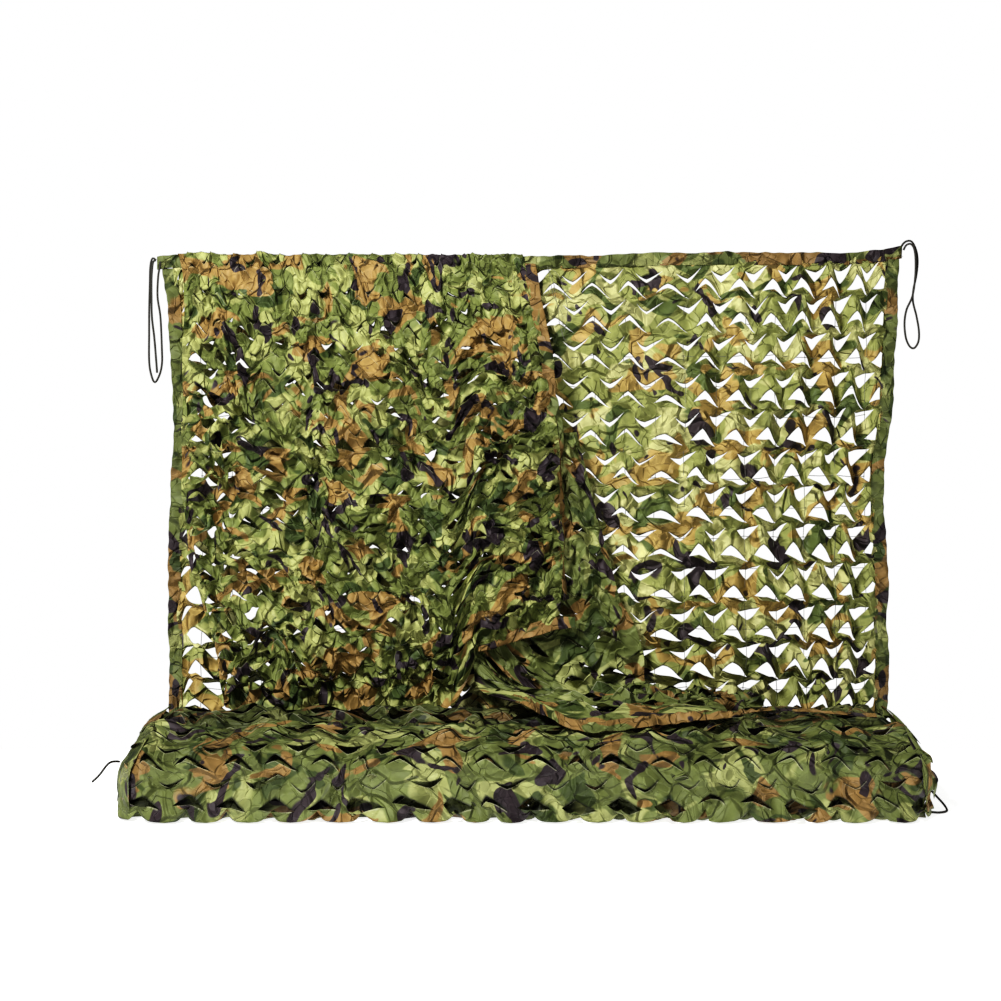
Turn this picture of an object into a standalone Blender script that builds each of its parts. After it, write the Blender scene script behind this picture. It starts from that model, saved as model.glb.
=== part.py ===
"""A camouflage net on show: a cut-leaf panel hung by its top edge, a second layer folded over the
top in front of its left part, a gathered fall between the two, and the rest of the net in a loose
flattened roll on the floor. Metres, +Z up, +Y to the back.

The origin is the middle of the hung top edge. Tables are in millimetres: x to the right, drop down
from the origin, reach forward (-Y) from the hung panel.
"""

import math

import bpy
from mathutils import Vector
from mathutils.geometry import delaunay_2d_cdt

MM = 0.001

# Cloth, tape and cord
CLOTH = 2.0 * MM  # the thickness that stands for cut cloth on its string mesh
TAPE = 2.4 * MM  # a binding folded over the edge
TAPE_WIDTH = 26 * MM
SIDE_TAPE_WIDTH = 28 * MM
GAP = 0.3 * MM  # between pieces that are sewn or lie together
CREASED_GAP = 0.7 * MM  # the same beside a creased edge
CORD = 4.5 * MM

# The hung panel
FLOOR_DROP = 1057 * MM  # from the top edge down to the floor
PANEL_BOTTOM = 1045 * MM
STATION = 48 * MM  # between points along a binding
PANEL_SPACING = 60 * MM  # between the points of cloth with no cuts
TOP_EDGE = (  # x, height of the tape's upper edge
    (-776, -3),
    (-743, 2),
    (-400, 0),
    (63, 0),
    (275, 6),
    (434, 8),
    (646, 6),
    (755, 16),
    (776, 21),
)
LEFT_EDGE = (  # drop, x of the tape's middle
    (0, -760),
    (90, -750),
    (351, -740),
    (551, -750),
    (634, -754),
    (899, -748),
    (1060, -748),
)
RIGHT_EDGE = (  # drop, x of the tape's middle
    (-21, 763),
    (138, 759),
    (351, 748),
    (436, 738),
    (536, 743),
    (669, 748),
    (765, 742),
    (840, 746),
    (1060, 742),
)
PANEL_FOLDS = (  # wavelength, lean, phase in turns, depth
    (920, 0.05, 0.40, 3.5),
    (410, 0.15, 0.05, 3.0),
    (230, -0.25, 0.30, 1.6),
)

# The die-cut leaves of the panel: rows of U-shaped cuts, with rows of turned-over cuts between
ROW_DROP = (61, 124, 199, 278, 357, 438, 517, 596, 678, 765, 842, 917)
COLUMN_X = (20, 98, 175, 248, 334, 402, 471, 536, 594, 650, 700, 760)
FULL_PITCH = 79 * MM  # the column pitch at which the cut has its full width
GAPE_LEAST, GAPE_RANGE = 0.16, 0.78
GAPE_ACROSS = (120, 900, 1.15)  # x where the gape starts to grow, over what width, how strongly
GAPE_DOWN = (60, 800, 0.62)  # the same down the drop
LEAST_OPEN = 0.32  # cuts that are more nearly shut than this stay uncut
LEAST_SIZE = 0.4  # and so do those that the right tape leaves less room than this
CUT_MARGIN = 6 * MM  # between a cut and the tape
N_BELOW = 4 * MM  # how far a row of turned-over cuts starts below its U cuts' feet
HIDDEN_X, HIDDEN_Z = 60 * MM, -500 * MM  # left of and above this the front layer covers the panel
U_CUT = ((-27, 17), (-3, 0), (6, 2), (34, 35))  # x, up, of a U cut's lower edge
U_LIFT = ((16, 20), (-6, 23))  # x, lift of its upper edge when wide open
N_CUT = ((42, -33), (7, -1), (-4, -1), (-25, -20))  # x, up, of a turned-over cut's upper edge
N_DROP = ((-3, 24), (17, 22))  # x, drop of its lower edge when wide open
WIDE_PITCH = 150 * MM  # behind and in the folded layer: twice the real pitch
WIDE_CUT = 1.25  # how much larger the cuts are there
WIDE_GAPE = 0.8
WIDE_X = (-640, -40)  # between the first column and the last
WIDE_DROP = (150, 900)  # between the first row and the last
WIDE_SHIFT = 20 * MM  # of every second row
WIDE_BELOW = 62 * MM  # how far a turned-over cut lies below its U cut

# The layer folded over the top, in front of the panel's left part
FOLD_RADIUS = 5 * MM
TAIL = 70 * MM  # how far it hangs down behind the panel
TAIL_BACK = 2.7 * MM
FOLD_ROWS = tuple(v * MM for v in (-36, -16, -7.8, -4, 0, 4, 7.8, 20))  # points along the fold
FRONT_SPACING = 44 * MM  # between the points of the crumpled cloth
FRONT_CUT_X = (-655, -160)  # between the first column of cuts and the last
FRONT_CUT_DROP = (120, 800)  # between the first row of cuts and the last
FRONT_ROW = 136 * MM  # between rows
FRONT_GAPE = 0.55
FRONT_LEFT = -735
FRONT_REACH = 62 * MM  # how far it stands forward of the panel
FRONT_SWELL = 260 * MM  # the drop over which it comes forward
FRONT_SIDE = (  # drop, x of the side binding's inner edge
    (-8, -22),
    (61, -6),
    (129, 5),
    (205, 22),
    (287, 28),
    (380, 45),
    (440, 55),
    (501, 61),
    (644, 60),
    (706, 70),
)
FRONT_HEM = ((-107, 790), (-31, 759), (61, 725), (112, 731))  # x, drop of the hem's upper edge
FRONT_BOTTOM = ((-735, 903), (-560, 899), (-400, 904), (-250, 898), (-112, 904))  # x, drop
FRONT_FOLDS = (  # wavelength, direction in degrees, phase in turns, depth
    (230, 74, 0.10, 6.5),
    (165, 14, 0.45, 5.0),
    (128, 121, 0.80, 4.0),
)
FOLDS_START, FOLDS_GROW = 15 * MM, 150 * MM  # drops: where the creases start, how soon they are full

# The gathered fall, from behind the front layer's edge down onto the roll
FALL_TOP = 361
FALL_PATH = ((24, 361), (24, 850), (28, 884), (40, 901))  # reach, drop
FALL_LEFT = ((361, 40), (600, 20), (800, -20), (895, -52))  # drop, x
FALL_RIGHT = ((361, 95), (500, 130), (712, 186), (768, 219), (823, 236), (880, 232))  # drop, x
FALL_PLEAT = 34 * MM  # wavelength
FALL_PLEAT_DEPTH = 6 * MM
FALL_LEAN = 0.16  # of the pleats, sideways for each metre down
FALL_FLATTENS = (10 * MM, 90 * MM)  # the pleats are flat this near the foot, and fade over this
FALL_FORWARD = (62, 345, 20)  # reach: start and end of its way over the roll, and the step
FALL_CORNER = ((290, 120), (380, 190))  # x, reach of its right edge on the roll
FALL_SPACING = 30 * MM
FALL_LIFT = 1.9 * MM  # of the fall's middle above the roll
FOOT = (  # x, reach of the binding that ends the fall on the roll
    (-64, 72),
    (-22, 140),
    (16, 226),
    (62, 288),
    (112, 316),
    (164, 308),
    (233, 284),
    (304, 263),
    (387, 248),
    (467, 195),
    (588, 231),
    (666, 248),
)
FOOT_CLOTH_END = 380  # x
FOOT_STEP = 30 * MM
FOOT_WIDTH = 19 * MM
FOOT_ALONE = 0.6  # its width beyond the cloth, against that

# The roll
ROLL_LEFT, ROLL_RIGHT = -787 * MM, 753 * MM
ROLL_BACK, ROLL_FRONT = -1.35 * MM, -400 * MM  # Y
ROLL_MIDDLE = 78 * MM  # height of its middle above the floor
ROLL_HALF_HEIGHT = 82 * MM
ROLL_SQUARENESS = 2.6  # the section's exponent: 2 is an ellipse
FOOT_SQUARENESS = 4.0  # the same for its lower half
FOOT_DEGREES = 220  # round the section, where its front meets the floor
ROLL_END = 62 * MM  # the length over which each end rounds off
ROLL_END_STEPS = (0.0, 0.06, 0.22, 0.5)  # sections along that length
ROLL_CAP = 0.52  # the end face's size against the whole section
ROLL_STATIONS = 56
ROLL_SIDES = 18
ROLL_TWISTS = (  # wavelength, turns round the section, phase in turns, depth
    (530, 1, 0.15, 6.0),
    (310, -1, 0.60, 5.0),
    (205, 2, 0.35, 4.0),
    (148, -3, 0.85, 3.5),
)
LAP_DEGREES = (38, 148)  # round the section, where an outer turn of the net ends
LAP_STEP = 5 * MM  # how far it stands above the turn below
LAP_FADE = 70  # degrees over which it blends into that turn
LAP_WANDER, LAP_WAVE = 9, 90 * MM  # degrees its edge strays, and over what length
FALL_WEIGHT = 0.9  # how far the fall's weight smooths the roll's top
FALL_MIDDLE, FALL_HALF, FALL_BLEND = 0.17, 0.26, 0.08  # x of that stretch, half its length, its ends
SCALLOP = 75 * MM  # the leaf edges that stand out along the roll's front foot
SCALLOP_DEPTH = 16 * MM


def look_up(table, value):
    """The second column of a table in mm, between its rows, at a value of the first in metres."""
    at = value / MM
    for (a, low), (b, high) in zip(table, table[1:]):
        if at <= b:
            share = max(0.0, (at - a) / (b - a))
            return (low + share * (high - low)) * MM
    return table[-1][1] * MM


def ease(share):
    """0 to 1 with soft ends."""
    share = min(1.0, max(0.0, share))
    return share * share * (3 - 2 * share)


def ridge(turns):
    """A wave from -1 to 1 with a crease at each end of its swing."""
    return 4 * abs(turns - math.floor(turns + 0.5)) - 1


def stations(start, end, spacing):
    """Evenly spaced values from start to end."""
    count = max(1, round(abs(end - start) / spacing))
    return [start + (end - start) * i / count for i in range(count + 1)]


def material(name, colour, roughness):
    """A plain cloth or cord finish."""
    finish = bpy.data.materials.new(name)
    finish.use_nodes = True
    shader = finish.node_tree.nodes["Principled BSDF"]
    shader.inputs["Base Color"].default_value = (*colour, 1)
    shader.inputs["Roughness"].default_value = roughness
    shader.inputs["Metallic"].default_value = 0
    return finish


def add(name, data, finish):
    """Put a mesh or a curve into the scene under the part's name."""
    piece = bpy.data.objects.new(name, data)
    data.materials.append(finish)
    bpy.context.collection.objects.link(piece)
    return piece


def add_mesh(name, points, faces, finish):
    mesh = bpy.data.meshes.new(name)
    mesh.from_pydata(points, [], faces)
    mesh.update()
    return add(name, mesh, finish)


# ---- cloth: a flat cutting pattern, placed on its folds and given its thickness


def inside(point, loop):
    """True if a point lies inside a closed outline."""
    crossings = False
    for (ax, ay), (bx, by) in zip(loop, loop[1:] + loop[:1]):
        if (ay > point[1]) != (by > point[1]):
            if point[0] < ax + (point[1] - ay) * (bx - ax) / (by - ay):
                crossings = not crossings
    return crossings


def box_of(loop, margin):
    """The least and the greatest x and y of an outline, with a margin."""
    across, up = [p[0] for p in loop], [p[1] for p in loop]
    return min(across) - margin, max(across) + margin, min(up) - margin, max(up) + margin


def in_box(point, box):
    return box[0] < point[0] < box[1] and box[2] < point[1] < box[3]


def free_points(outline, holes, spacing, lowest=-math.inf):
    """Points spread over the pattern, in staggered rows, clear of its cuts and its outline."""
    left, right, low, high = box_of(outline, -0.4 * spacing)
    keep_out = [box_of(hole, 0.2 * spacing) for hole in holes]
    margin_x, margin_y = 0.35 * spacing, 0.3 * spacing
    points = []
    for row, y in enumerate(stations(max(low, lowest), high, spacing * 0.87)):
        shift = spacing * (0.25 if row % 2 else -0.25)
        for x in stations(left + shift, right + shift, spacing):
            rim = [(x + i * margin_x, y + j * margin_y) for i in (-1, 1) for j in (-1, 1)]
            clear = all(inside(p, outline) for p in rim)
            if clear and not any(in_box((x, y), box) for box in keep_out):
                points.append((x, y))
    return points


def pattern(outline, holes, inner):
    """The cutting pattern's points and triangles, with the cuts left open."""
    points, edges = [], []
    for loop in [outline, *holes]:
        first, count = len(points), len(loop)
        points += [Vector(p) for p in loop]
        edges += [(first + i, first + (i + 1) % count) for i in range(count)]
    points += [Vector(p) for p in inner]
    points, _, faces, *_ = delaunay_2d_cdt(points, edges, [], 0, 1e-6)
    boxes = [(box_of(hole, 0), hole) for hole in holes]
    kept = []
    for face in faces:
        middle = sum((points[i] for i in face), Vector((0, 0))) / 3
        cut = any(in_box(middle, box) and inside(middle, hole) for box, hole in boxes)
        if not cut and inside(middle, outline):
            kept.append(tuple(face))
    return points, kept


def cloth(name, cut, place, finish):
    """A sheet: each point of the pattern goes to place(x, y), half a thickness to each side."""
    points, faces = cut
    step = 1 * MM
    near, far = [], []
    for p in points:
        middle = place(p.x, p.y)
        across = place(p.x + step, p.y) - place(p.x - step, p.y)
        down = place(p.x, p.y + step) - place(p.x, p.y - step)
        normal = across.cross(down).normalized() * CLOTH / 2
        near.append(middle - normal)
        far.append(middle + normal)
    count = len(points)
    directed = {(f[i], f[(i + 1) % 3]) for f in faces for i in range(3)}
    shell = [(c, b, a) for a, b, c in faces]
    shell += [(a + count, b + count, c + count) for a, b, c in faces]
    shell += [(a, b, b + count, a + count) for a, b in directed if (b, a) not in directed]
    return add_mesh(name, near + far, shell, finish)


def tape(name, sides, finish):
    """A flat strip of tape through pairs of points, (one edge, other edge, normal)."""
    points, faces = [], []
    for one, other, normal in sides:
        half = normal.normalized() * TAPE / 2
        points += [one - half, other - half, other + half, one + half]
    for k in range(0, len(points) - 4, 4):
        faces += [(k + i, k + (i + 1) % 4, k + 4 + (i + 1) % 4, k + 4 + i) for i in range(4)]
    last = len(points) - 4
    faces += [(3, 2, 1, 0), (last, last + 1, last + 2, last + 3)]
    piece = add_mesh(name, points, faces, finish)
    return face_outwards(piece)


def face_outwards(piece):
    """Turn a closed mesh's faces over if they point in."""
    mesh = piece.data
    mesh.calc_loop_triangles()
    corners = [[mesh.vertices[i].co for i in t.vertices] for t in mesh.loop_triangles]
    if sum(a.dot(b.cross(c)) for a, b, c in corners) < 0:
        mesh.flip_normals()
    return piece


# ---- the hung panel


def top(x):
    return look_up(TOP_EDGE, x)


def hang(x, z):
    """How far back the hung panel lies: shallow folds, none at the top edge or behind the roll."""
    drop = -z
    calm = (0.25 + 0.75 * ease(drop / (180 * MM))) * (1 - ease((drop - 720 * MM) / (150 * MM)))
    depth = 0.0
    for wavelength, lean, phase, fold in PANEL_FOLDS:
        depth += fold * MM * math.sin(2 * math.pi * ((x + lean * z) / (wavelength * MM) + phase))
    return calm * depth


def on_panel(x, z):
    return Vector((x, hang(x, z), z))


def openness(x, z):
    """How far a die-cut leaf gapes, from 0 to 1: least at the upper left, most low down and right."""
    share = 0.0
    for at, (start, width, weight) in ((x, GAPE_ACROSS), (-z, GAPE_DOWN)):
        share += weight * (at / MM - start) / width
    return GAPE_LEAST + GAPE_RANGE * ease(share)


def leaf_cut(x, z, size, gape, turned):
    """The opening of one cut at x, z: its fixed edge, then the edge that gapes."""
    fixed, free = (N_CUT, N_DROP) if turned else (U_CUT, U_LIFT)
    lift = -gape if turned else gape
    loop = [(px, pz) for px, pz in fixed]
    for px, most in free:
        loop.append((px, edge_height(fixed, px) + lift * most))
    return [(x + px * size * MM, z + pz * MM * min(1.15, size)) for px, pz in loop]


def edge_height(fixed, px):
    """The height of a cut's fixed edge at px, between its points."""
    points = sorted(fixed)
    for (ax, az), (bx, bz) in zip(points, points[1:]):
        if px <= bx:
            return az + (bz - az) * (px - ax) / (bx - ax)
    return points[-1][1]


def panel_cuts():
    """True-pitch cuts where the panel hangs clear, and wide-pitch ones behind the front layer."""
    cuts = []
    _, right = panel_edges()
    reach = U_CUT[-1][0] * MM
    for z in (-drop * MM for drop in ROW_DROP):
        room = right(z) - CUT_MARGIN
        for left_x, right_x in zip(COLUMN_X, COLUMN_X[1:]):
            pitch = (right_x - left_x) * MM
            for turned, x in ((False, left_x * MM), (True, left_x * MM + pitch / 2)):
                size = min(1.0, pitch / FULL_PITCH, (room - x) / reach)
                gape = openness(x, z)
                hidden = x < HIDDEN_X and z > HIDDEN_Z
                if gape > LEAST_OPEN and size > LEAST_SIZE and not hidden:
                    cuts.append(leaf_cut(x, z - turned * N_BELOW, size, gape, turned))
    (first_x, last_x), (first_drop, last_drop) = WIDE_X, WIDE_DROP
    for j, z in enumerate(stations(-first_drop * MM, -last_drop * MM, WIDE_PITCH)):
        shift = (j % 2) * WIDE_SHIFT
        for x in stations(first_x * MM - shift, last_x * MM - shift, WIDE_PITCH):
            cuts.append(leaf_cut(x, z, WIDE_CUT, WIDE_GAPE, False))
            cuts.append(leaf_cut(x + WIDE_PITCH / 2, z - WIDE_BELOW, WIDE_CUT, WIDE_GAPE, True))
    return cuts


def panel_edges():
    """The x of the cloth's left and right edges, inside the side tapes, at a height z."""
    half = SIDE_TAPE_WIDTH / 2 + GAP
    return (
        lambda z: look_up(LEFT_EDGE, -z) + half,
        lambda z: look_up(RIGHT_EDGE, -z) - half,
    )


def side_levels(edge, side):
    """Heights of the points down a side, the same for the cloth and for its tape."""
    inner = edge(-TAPE_WIDTH)
    highest = min(top(inner), top(inner + side * SIDE_TAPE_WIDTH))
    return stations(highest - TAPE_WIDTH - 2 * GAP, -PANEL_BOTTOM, STATION)


def net_hung(finish):
    left, right = panel_edges()
    across = stations(left(-TAPE_WIDTH), right(-TAPE_WIDTH), STATION * 1.2)
    outline = [(x, top(x) - TAPE_WIDTH - GAP) for x in across]
    for edge, side in ((right, 1), (left, -1)):
        levels = side_levels(edge, side)
        corner = outline[-1] if side > 0 else outline[0]
        levels = [z for z in levels if corner[1] - z > 3 * MM]
        outline += [(edge(z), z) for z in levels][::side]
        if side > 0:
            ends = right(-PANEL_BOTTOM), left(-PANEL_BOTTOM)
            outline += [(x, -PANEL_BOTTOM) for x in stations(*ends, STATION * 2)[1:-1]]
    cuts = panel_cuts()
    inner = free_points(outline, cuts, PANEL_SPACING)
    return cloth("net_hung", pattern(outline, cuts, inner), on_panel, finish)


def panel_bindings(finish):
    """The top tape over the whole width, and a side tape down each edge below it."""
    left, right = panel_edges()
    ends = stations(left(-TAPE_WIDTH), right(-TAPE_WIDTH), STATION * 1.2)
    across = [TOP_EDGE[0][0] * MM, *ends, TOP_EDGE[-1][0] * MM]
    back = Vector((0, 1, 0))
    rows = [(on_panel(x, top(x)), on_panel(x, top(x) - TAPE_WIDTH), back) for x in across]
    tape("binding_top", rows, finish)
    for name, edge, side in (("binding_left", left, -1), ("binding_right", right, 1)):
        rows = []
        for z in side_levels(edge, side):
            inner = edge(z) + side * GAP
            rows.append((on_panel(inner, z), on_panel(inner + side * SIDE_TAPE_WIDTH, z), back))
        tape(name, rows, finish)


# ---- the layer folded over the top


def crumple(x, v, folds):
    """The depth of the creases that cross a slack cloth."""
    depth = 0.0
    for wavelength, degrees, phase, fold in folds:
        turn = math.radians(degrees)
        along = x * math.cos(turn) + v * math.sin(turn)
        depth += fold * MM * ridge(along / (wavelength * MM) + phase)
    return depth


def on_front(x, v):
    """v runs over the fold: behind the panel below 0, down the front above it."""
    arc = FOLD_RADIUS * math.pi / 2
    ridge_z = top(x)
    if v < -arc:
        fall = -v - arc
        y = TAIL_BACK + (FOLD_RADIUS - TAIL_BACK) * (1 - ease(fall / (30 * MM)))
        return Vector((x, hang(x, ridge_z - fall) + y, ridge_z - fall))
    if v < arc:
        angle = v / FOLD_RADIUS
        y = hang(x, ridge_z) - FOLD_RADIUS * math.sin(angle)
        return Vector((x, y, ridge_z + FOLD_RADIUS * math.cos(angle)))
    drop = v - arc
    swell = ease(drop / FRONT_SWELL)
    folds = crumple(x, v, FRONT_FOLDS) * ease((drop - FOLDS_START) / FOLDS_GROW)
    y = hang(x, ridge_z) * (1 - swell) - FOLD_RADIUS - (FRONT_REACH - FOLD_RADIUS) * swell
    return Vector((x, y + folds, ridge_z - drop))


def front_v(drop):
    """The front layer's own coordinate at a drop below the fold."""
    return drop + FOLD_RADIUS * math.pi / 2


def hem_line():
    """Points along the upper edge of the front layer's hem tape: x and drop."""
    xs = stations(FRONT_HEM[0][0] * MM, FRONT_HEM[-1][0] * MM, 36 * MM)
    return [(x, look_up(FRONT_HEM, x)) for x in xs]


def side_line():
    """Points down the inner edge of the front layer's side tape: x and drop."""
    drops = stations(16 * MM, FRONT_SIDE[-1][0] * MM, STATION)
    return [(look_up(FRONT_SIDE, drop), drop) for drop in drops]


def front_outline():
    tail_end = -(TAIL + FOLD_RADIUS * math.pi / 2)
    tail_right, left = look_up(FRONT_SIDE, 0) - GAP, FRONT_LEFT * MM
    outline = [(x, tail_end) for x in stations(left, tail_right, STATION * 1.5)]
    outline += [(tail_right, v) for v in FOLD_ROWS]
    outline += [(x - CREASED_GAP, front_v(drop)) for x, drop in side_line()]
    outline += [(x, front_v(drop - CREASED_GAP)) for x, drop in reversed(hem_line())]
    outline += [(x * MM, front_v(drop * MM)) for x, drop in reversed(FRONT_BOTTOM)]
    outline += [(left, front_v(drop)) for drop in stations(850 * MM, 60 * MM, STATION * 1.5)]
    outline += [(left, v) for v in reversed(FOLD_ROWS)]
    return outline


def fold_points():
    """Rows of points along the fold, close enough together to round it."""
    across = stations(FRONT_LEFT * MM, look_up(FRONT_SIDE, 0) - GAP, STATION * 1.2)[1:-1]
    return [(x, v) for v in FOLD_ROWS for x in across]


def front_cuts():
    """Every second leaf of the folded layer, each row leaning its own way as the cloth bunches."""
    cuts = []
    (first_x, last_x), (first_drop, last_drop) = FRONT_CUT_X, FRONT_CUT_DROP
    for j, drop in enumerate(stations(first_drop * MM, last_drop * MM, FRONT_ROW)):
        shift = (j % 2) * WIDE_PITCH / 2
        for i, x in enumerate(stations(first_x * MM + shift, last_x * MM + shift, WIDE_PITCH)):
            turned = (i + j) % 2 == 0
            cuts.append(leaf_cut(x, front_v(drop), 1.0, FRONT_GAPE, turned))
    return cuts


def net_front(finish):
    outline, cuts = front_outline(), front_cuts()
    inner = free_points(outline, cuts, FRONT_SPACING, lowest=FOLD_ROWS[-1] + 0.6 * FRONT_SPACING)
    inner += fold_points()
    return cloth("net_front", pattern(outline, cuts, inner), on_front, finish)


def front_bindings(finish):
    """The tape down the front layer's right edge, and the hem tape across its corner."""
    back = Vector((0, 1, 0))
    rows = []
    for inner, drop in side_line():
        v = front_v(drop)
        rows.append((on_front(inner, v), on_front(inner + TAPE_WIDTH, v), back))
    tape("binding_front_side", rows, finish)
    rows = []
    hem = hem_line()
    for k, (x, drop) in enumerate(hem):
        wide = TAPE_WIDTH * (0.85 - 0.3 * k / (len(hem) - 1))
        rows.append((on_front(x, front_v(drop)), on_front(x, front_v(drop + wide)), back))
    tape("binding_front_hem", rows, finish)


# ---- the roll


def roll_height(reach):
    """The height of the roll's top above the floor, reach metres forward of the panel."""
    middle, half = -(ROLL_BACK + ROLL_FRONT) / 2, (ROLL_BACK - ROLL_FRONT) / 2
    share = min(1.0, abs(reach - middle) / half) ** ROLL_SQUARENESS
    return ROLL_MIDDLE + ROLL_HALF_HEIGHT * (1 - share) ** (1 / ROLL_SQUARENESS)


def roll_press(x, angle):
    """How far the twists, and the ends of the outer turns, press the roll's surface in."""
    press = 0.0
    for wavelength, turns, phase, depth in ROLL_TWISTS:
        wave = math.sin(2 * math.pi * (x / (wavelength * MM) + phase) + turns * angle)
        press += depth * MM * (1 + wave) / 2
    for lap in LAP_DEGREES:
        beyond = math.degrees(angle) - lap - LAP_WANDER * math.sin(x / LAP_WAVE)
        press += LAP_STEP * (1 - beyond / LAP_FADE) if 0 < beyond < LAP_FADE else 0.0
    against_panel = ease((math.cos(angle) - 0.75) / 0.2)
    on_floor = ease((-0.35 - math.sin(angle)) / 0.3)
    along_fall = ease((FALL_HALF - abs(x - FALL_MIDDLE)) / FALL_BLEND)
    under_fall = FALL_WEIGHT * along_fall * ease((math.sin(angle) - 0.5) / 0.3)
    return press * (1 - against_panel) * (1 - on_floor) * (1 - under_fall)


def scallop(x, angle):
    """How far the leaf tips stand out along the roll's front foot: 1 at a tip, 0 between two."""
    low_front = ease(1 - abs(math.degrees(angle) - FOOT_DEGREES) / 30)
    return low_front * (0.5 - 0.5 * math.cos(2 * math.pi * x / SCALLOP))


def roll_section(x, shrink):
    """One closed section: a flattened oval with a square, flat foot, its twists pressed in."""
    middle, half = (ROLL_BACK + ROLL_FRONT) / 2, (ROLL_BACK - ROLL_FRONT) / 2
    points = []
    for k in range(ROLL_SIDES):
        angle = 2 * math.pi * k / ROLL_SIDES
        across, up = math.cos(angle), math.sin(angle)
        power = 2 / (ROLL_SQUARENESS if up > 0 else FOOT_SQUARENESS)
        round_across = math.copysign(abs(across) ** power, across)
        round_up = math.copysign(abs(up) ** power, up)
        press = roll_press(x, angle)
        tip = SCALLOP_DEPTH * scallop(x, angle) * shrink
        y = middle + (half * shrink - press + tip) * round_across
        tall = ROLL_HALF_HEIGHT * (shrink if up > 0 else 0.25 + 0.75 * shrink)
        height = max(0.0, ROLL_MIDDLE + (tall - press) * round_up)
        points.append(Vector((x, y, height - FLOOR_DROP)))
    return points


def net_roll(finish):
    points, faces = [], []
    step = (ROLL_RIGHT - ROLL_LEFT) / ROLL_STATIONS
    body = stations(ROLL_LEFT + ROLL_END, ROLL_RIGHT - ROLL_END, step)
    left = [(ROLL_LEFT + ROLL_END * e, e) for e in ROLL_END_STEPS]
    right = [(ROLL_RIGHT - ROLL_END * e, e) for e in reversed(ROLL_END_STEPS)]
    for x, e in [*left, *((x, 1.0) for x in body), *right]:
        shrink = ROLL_CAP + (1 - ROLL_CAP) * math.sqrt(1 - (1 - e) ** 2)
        points += roll_section(x, shrink)
    rings = len(points) // ROLL_SIDES
    for ring in range(rings - 1):
        for k in range(ROLL_SIDES):
            a, b = ring * ROLL_SIDES + k, ring * ROLL_SIDES + (k + 1) % ROLL_SIDES
            faces.append((a, b, b + ROLL_SIDES, a + ROLL_SIDES))
    for ring in (0, rings - 1):
        loop = [ring * ROLL_SIDES + k for k in range(ROLL_SIDES)]
        centre = sum((points[i] for i in loop), Vector()) / ROLL_SIDES
        points.append(centre)
        hub = len(points) - 1
        for a, b in zip(loop, loop[1:] + loop[:1]):
            faces.append((hub, b, a) if ring == 0 else (hub, a, b))
    return face_outwards(add_mesh("net_roll", points, faces, finish))


# ---- the gathered fall and its foot binding


def fall_route():
    """Reach and height of the fall's path: straight down, then forward over the roll's top."""
    route = [(reach * MM, -drop * MM) for reach, drop in FALL_PATH]
    for reach in stations(*(value * MM for value in FALL_FORWARD)):
        route.append((reach, roll_height(reach) - FLOOR_DROP + FALL_LIFT))
    return route


ROUTE = fall_route()
LENGTHS = [math.dist(a, b) for a, b in zip(ROUTE, ROUTE[1:])]


def on_route(v):
    """Reach, height and outward direction at v metres along the fall's path."""
    left = v
    for (a, b), length in zip(zip(ROUTE, ROUTE[1:]), LENGTHS):
        if left <= length or b == ROUTE[-1]:
            share = left / length
            reach, z = (a[i] + share * (b[i] - a[i]) for i in (0, 1))
            return reach, z, Vector((0, -(a[1] - b[1]), b[0] - a[0])) / length
        left -= length


def v_at(reach):
    """How far along the path the fall has come forward by reach."""
    v = 0.0
    for (a, b), length in zip(zip(ROUTE, ROUTE[1:]), LENGTHS):
        if a[0] < reach <= b[0]:
            return v + length * (reach - a[0]) / (b[0] - a[0])
        v += length
    return v


def on_fall(x, v):
    """The pleats open out away from the panel and the roll, and die out towards the foot."""
    reach, z, out = on_route(v)
    flat, fade = FALL_FLATTENS
    calm = ease((v_at(look_up(FOOT, x)) - v - flat) / fade)
    pleat = FALL_PLEAT_DEPTH * (1 + ridge((x + FALL_LEAN * v) / FALL_PLEAT)) * calm
    return Vector((x, -reach, z)) + out * pleat


def foot_stations():
    """Points along the foot binding: where the cloth ends in it, and where it runs on alone."""
    with_cloth = stations(FOOT[0][0] * MM, FOOT_CLOTH_END * MM, FOOT_STEP)
    return with_cloth, stations(with_cloth[-1], FOOT[-1][0] * MM, FOOT_STEP)[1:]


def net_fall(finish):
    foot, _ = foot_stations()
    sides = []
    for table in (FALL_RIGHT, FALL_LEFT):
        start, end = FALL_TOP * MM, table[-2][0] * MM
        drops = stations(start, end, FALL_PLEAT * 1.8)
        sides.append([(look_up(table, drop), drop - start) for drop in drops])
    outline = sides[0] + [(x * MM, v_at(reach * MM)) for x, reach in FALL_CORNER]
    outline += [(x, v_at(look_up(FOOT, x)) - GAP) for x in reversed(foot)]
    outline += reversed(sides[1])
    inner = free_points(outline, [], FALL_SPACING)
    return cloth("net_fall", pattern(outline, [], inner), on_fall, finish)


def foot_binding(finish):
    rows = []
    with_cloth, alone = foot_stations()
    for x in with_cloth + alone:
        v = v_at(look_up(FOOT, x))
        wide = FOOT_WIDTH * (1 if x < FOOT_CLOTH_END * MM else FOOT_ALONE)
        inner, outer = on_fall(x, v), on_fall(x, v + wide)
        rows.append((inner, outer, on_route(v)[2]))
    tape("binding_foot", rows, finish)


# ---- cords


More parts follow.
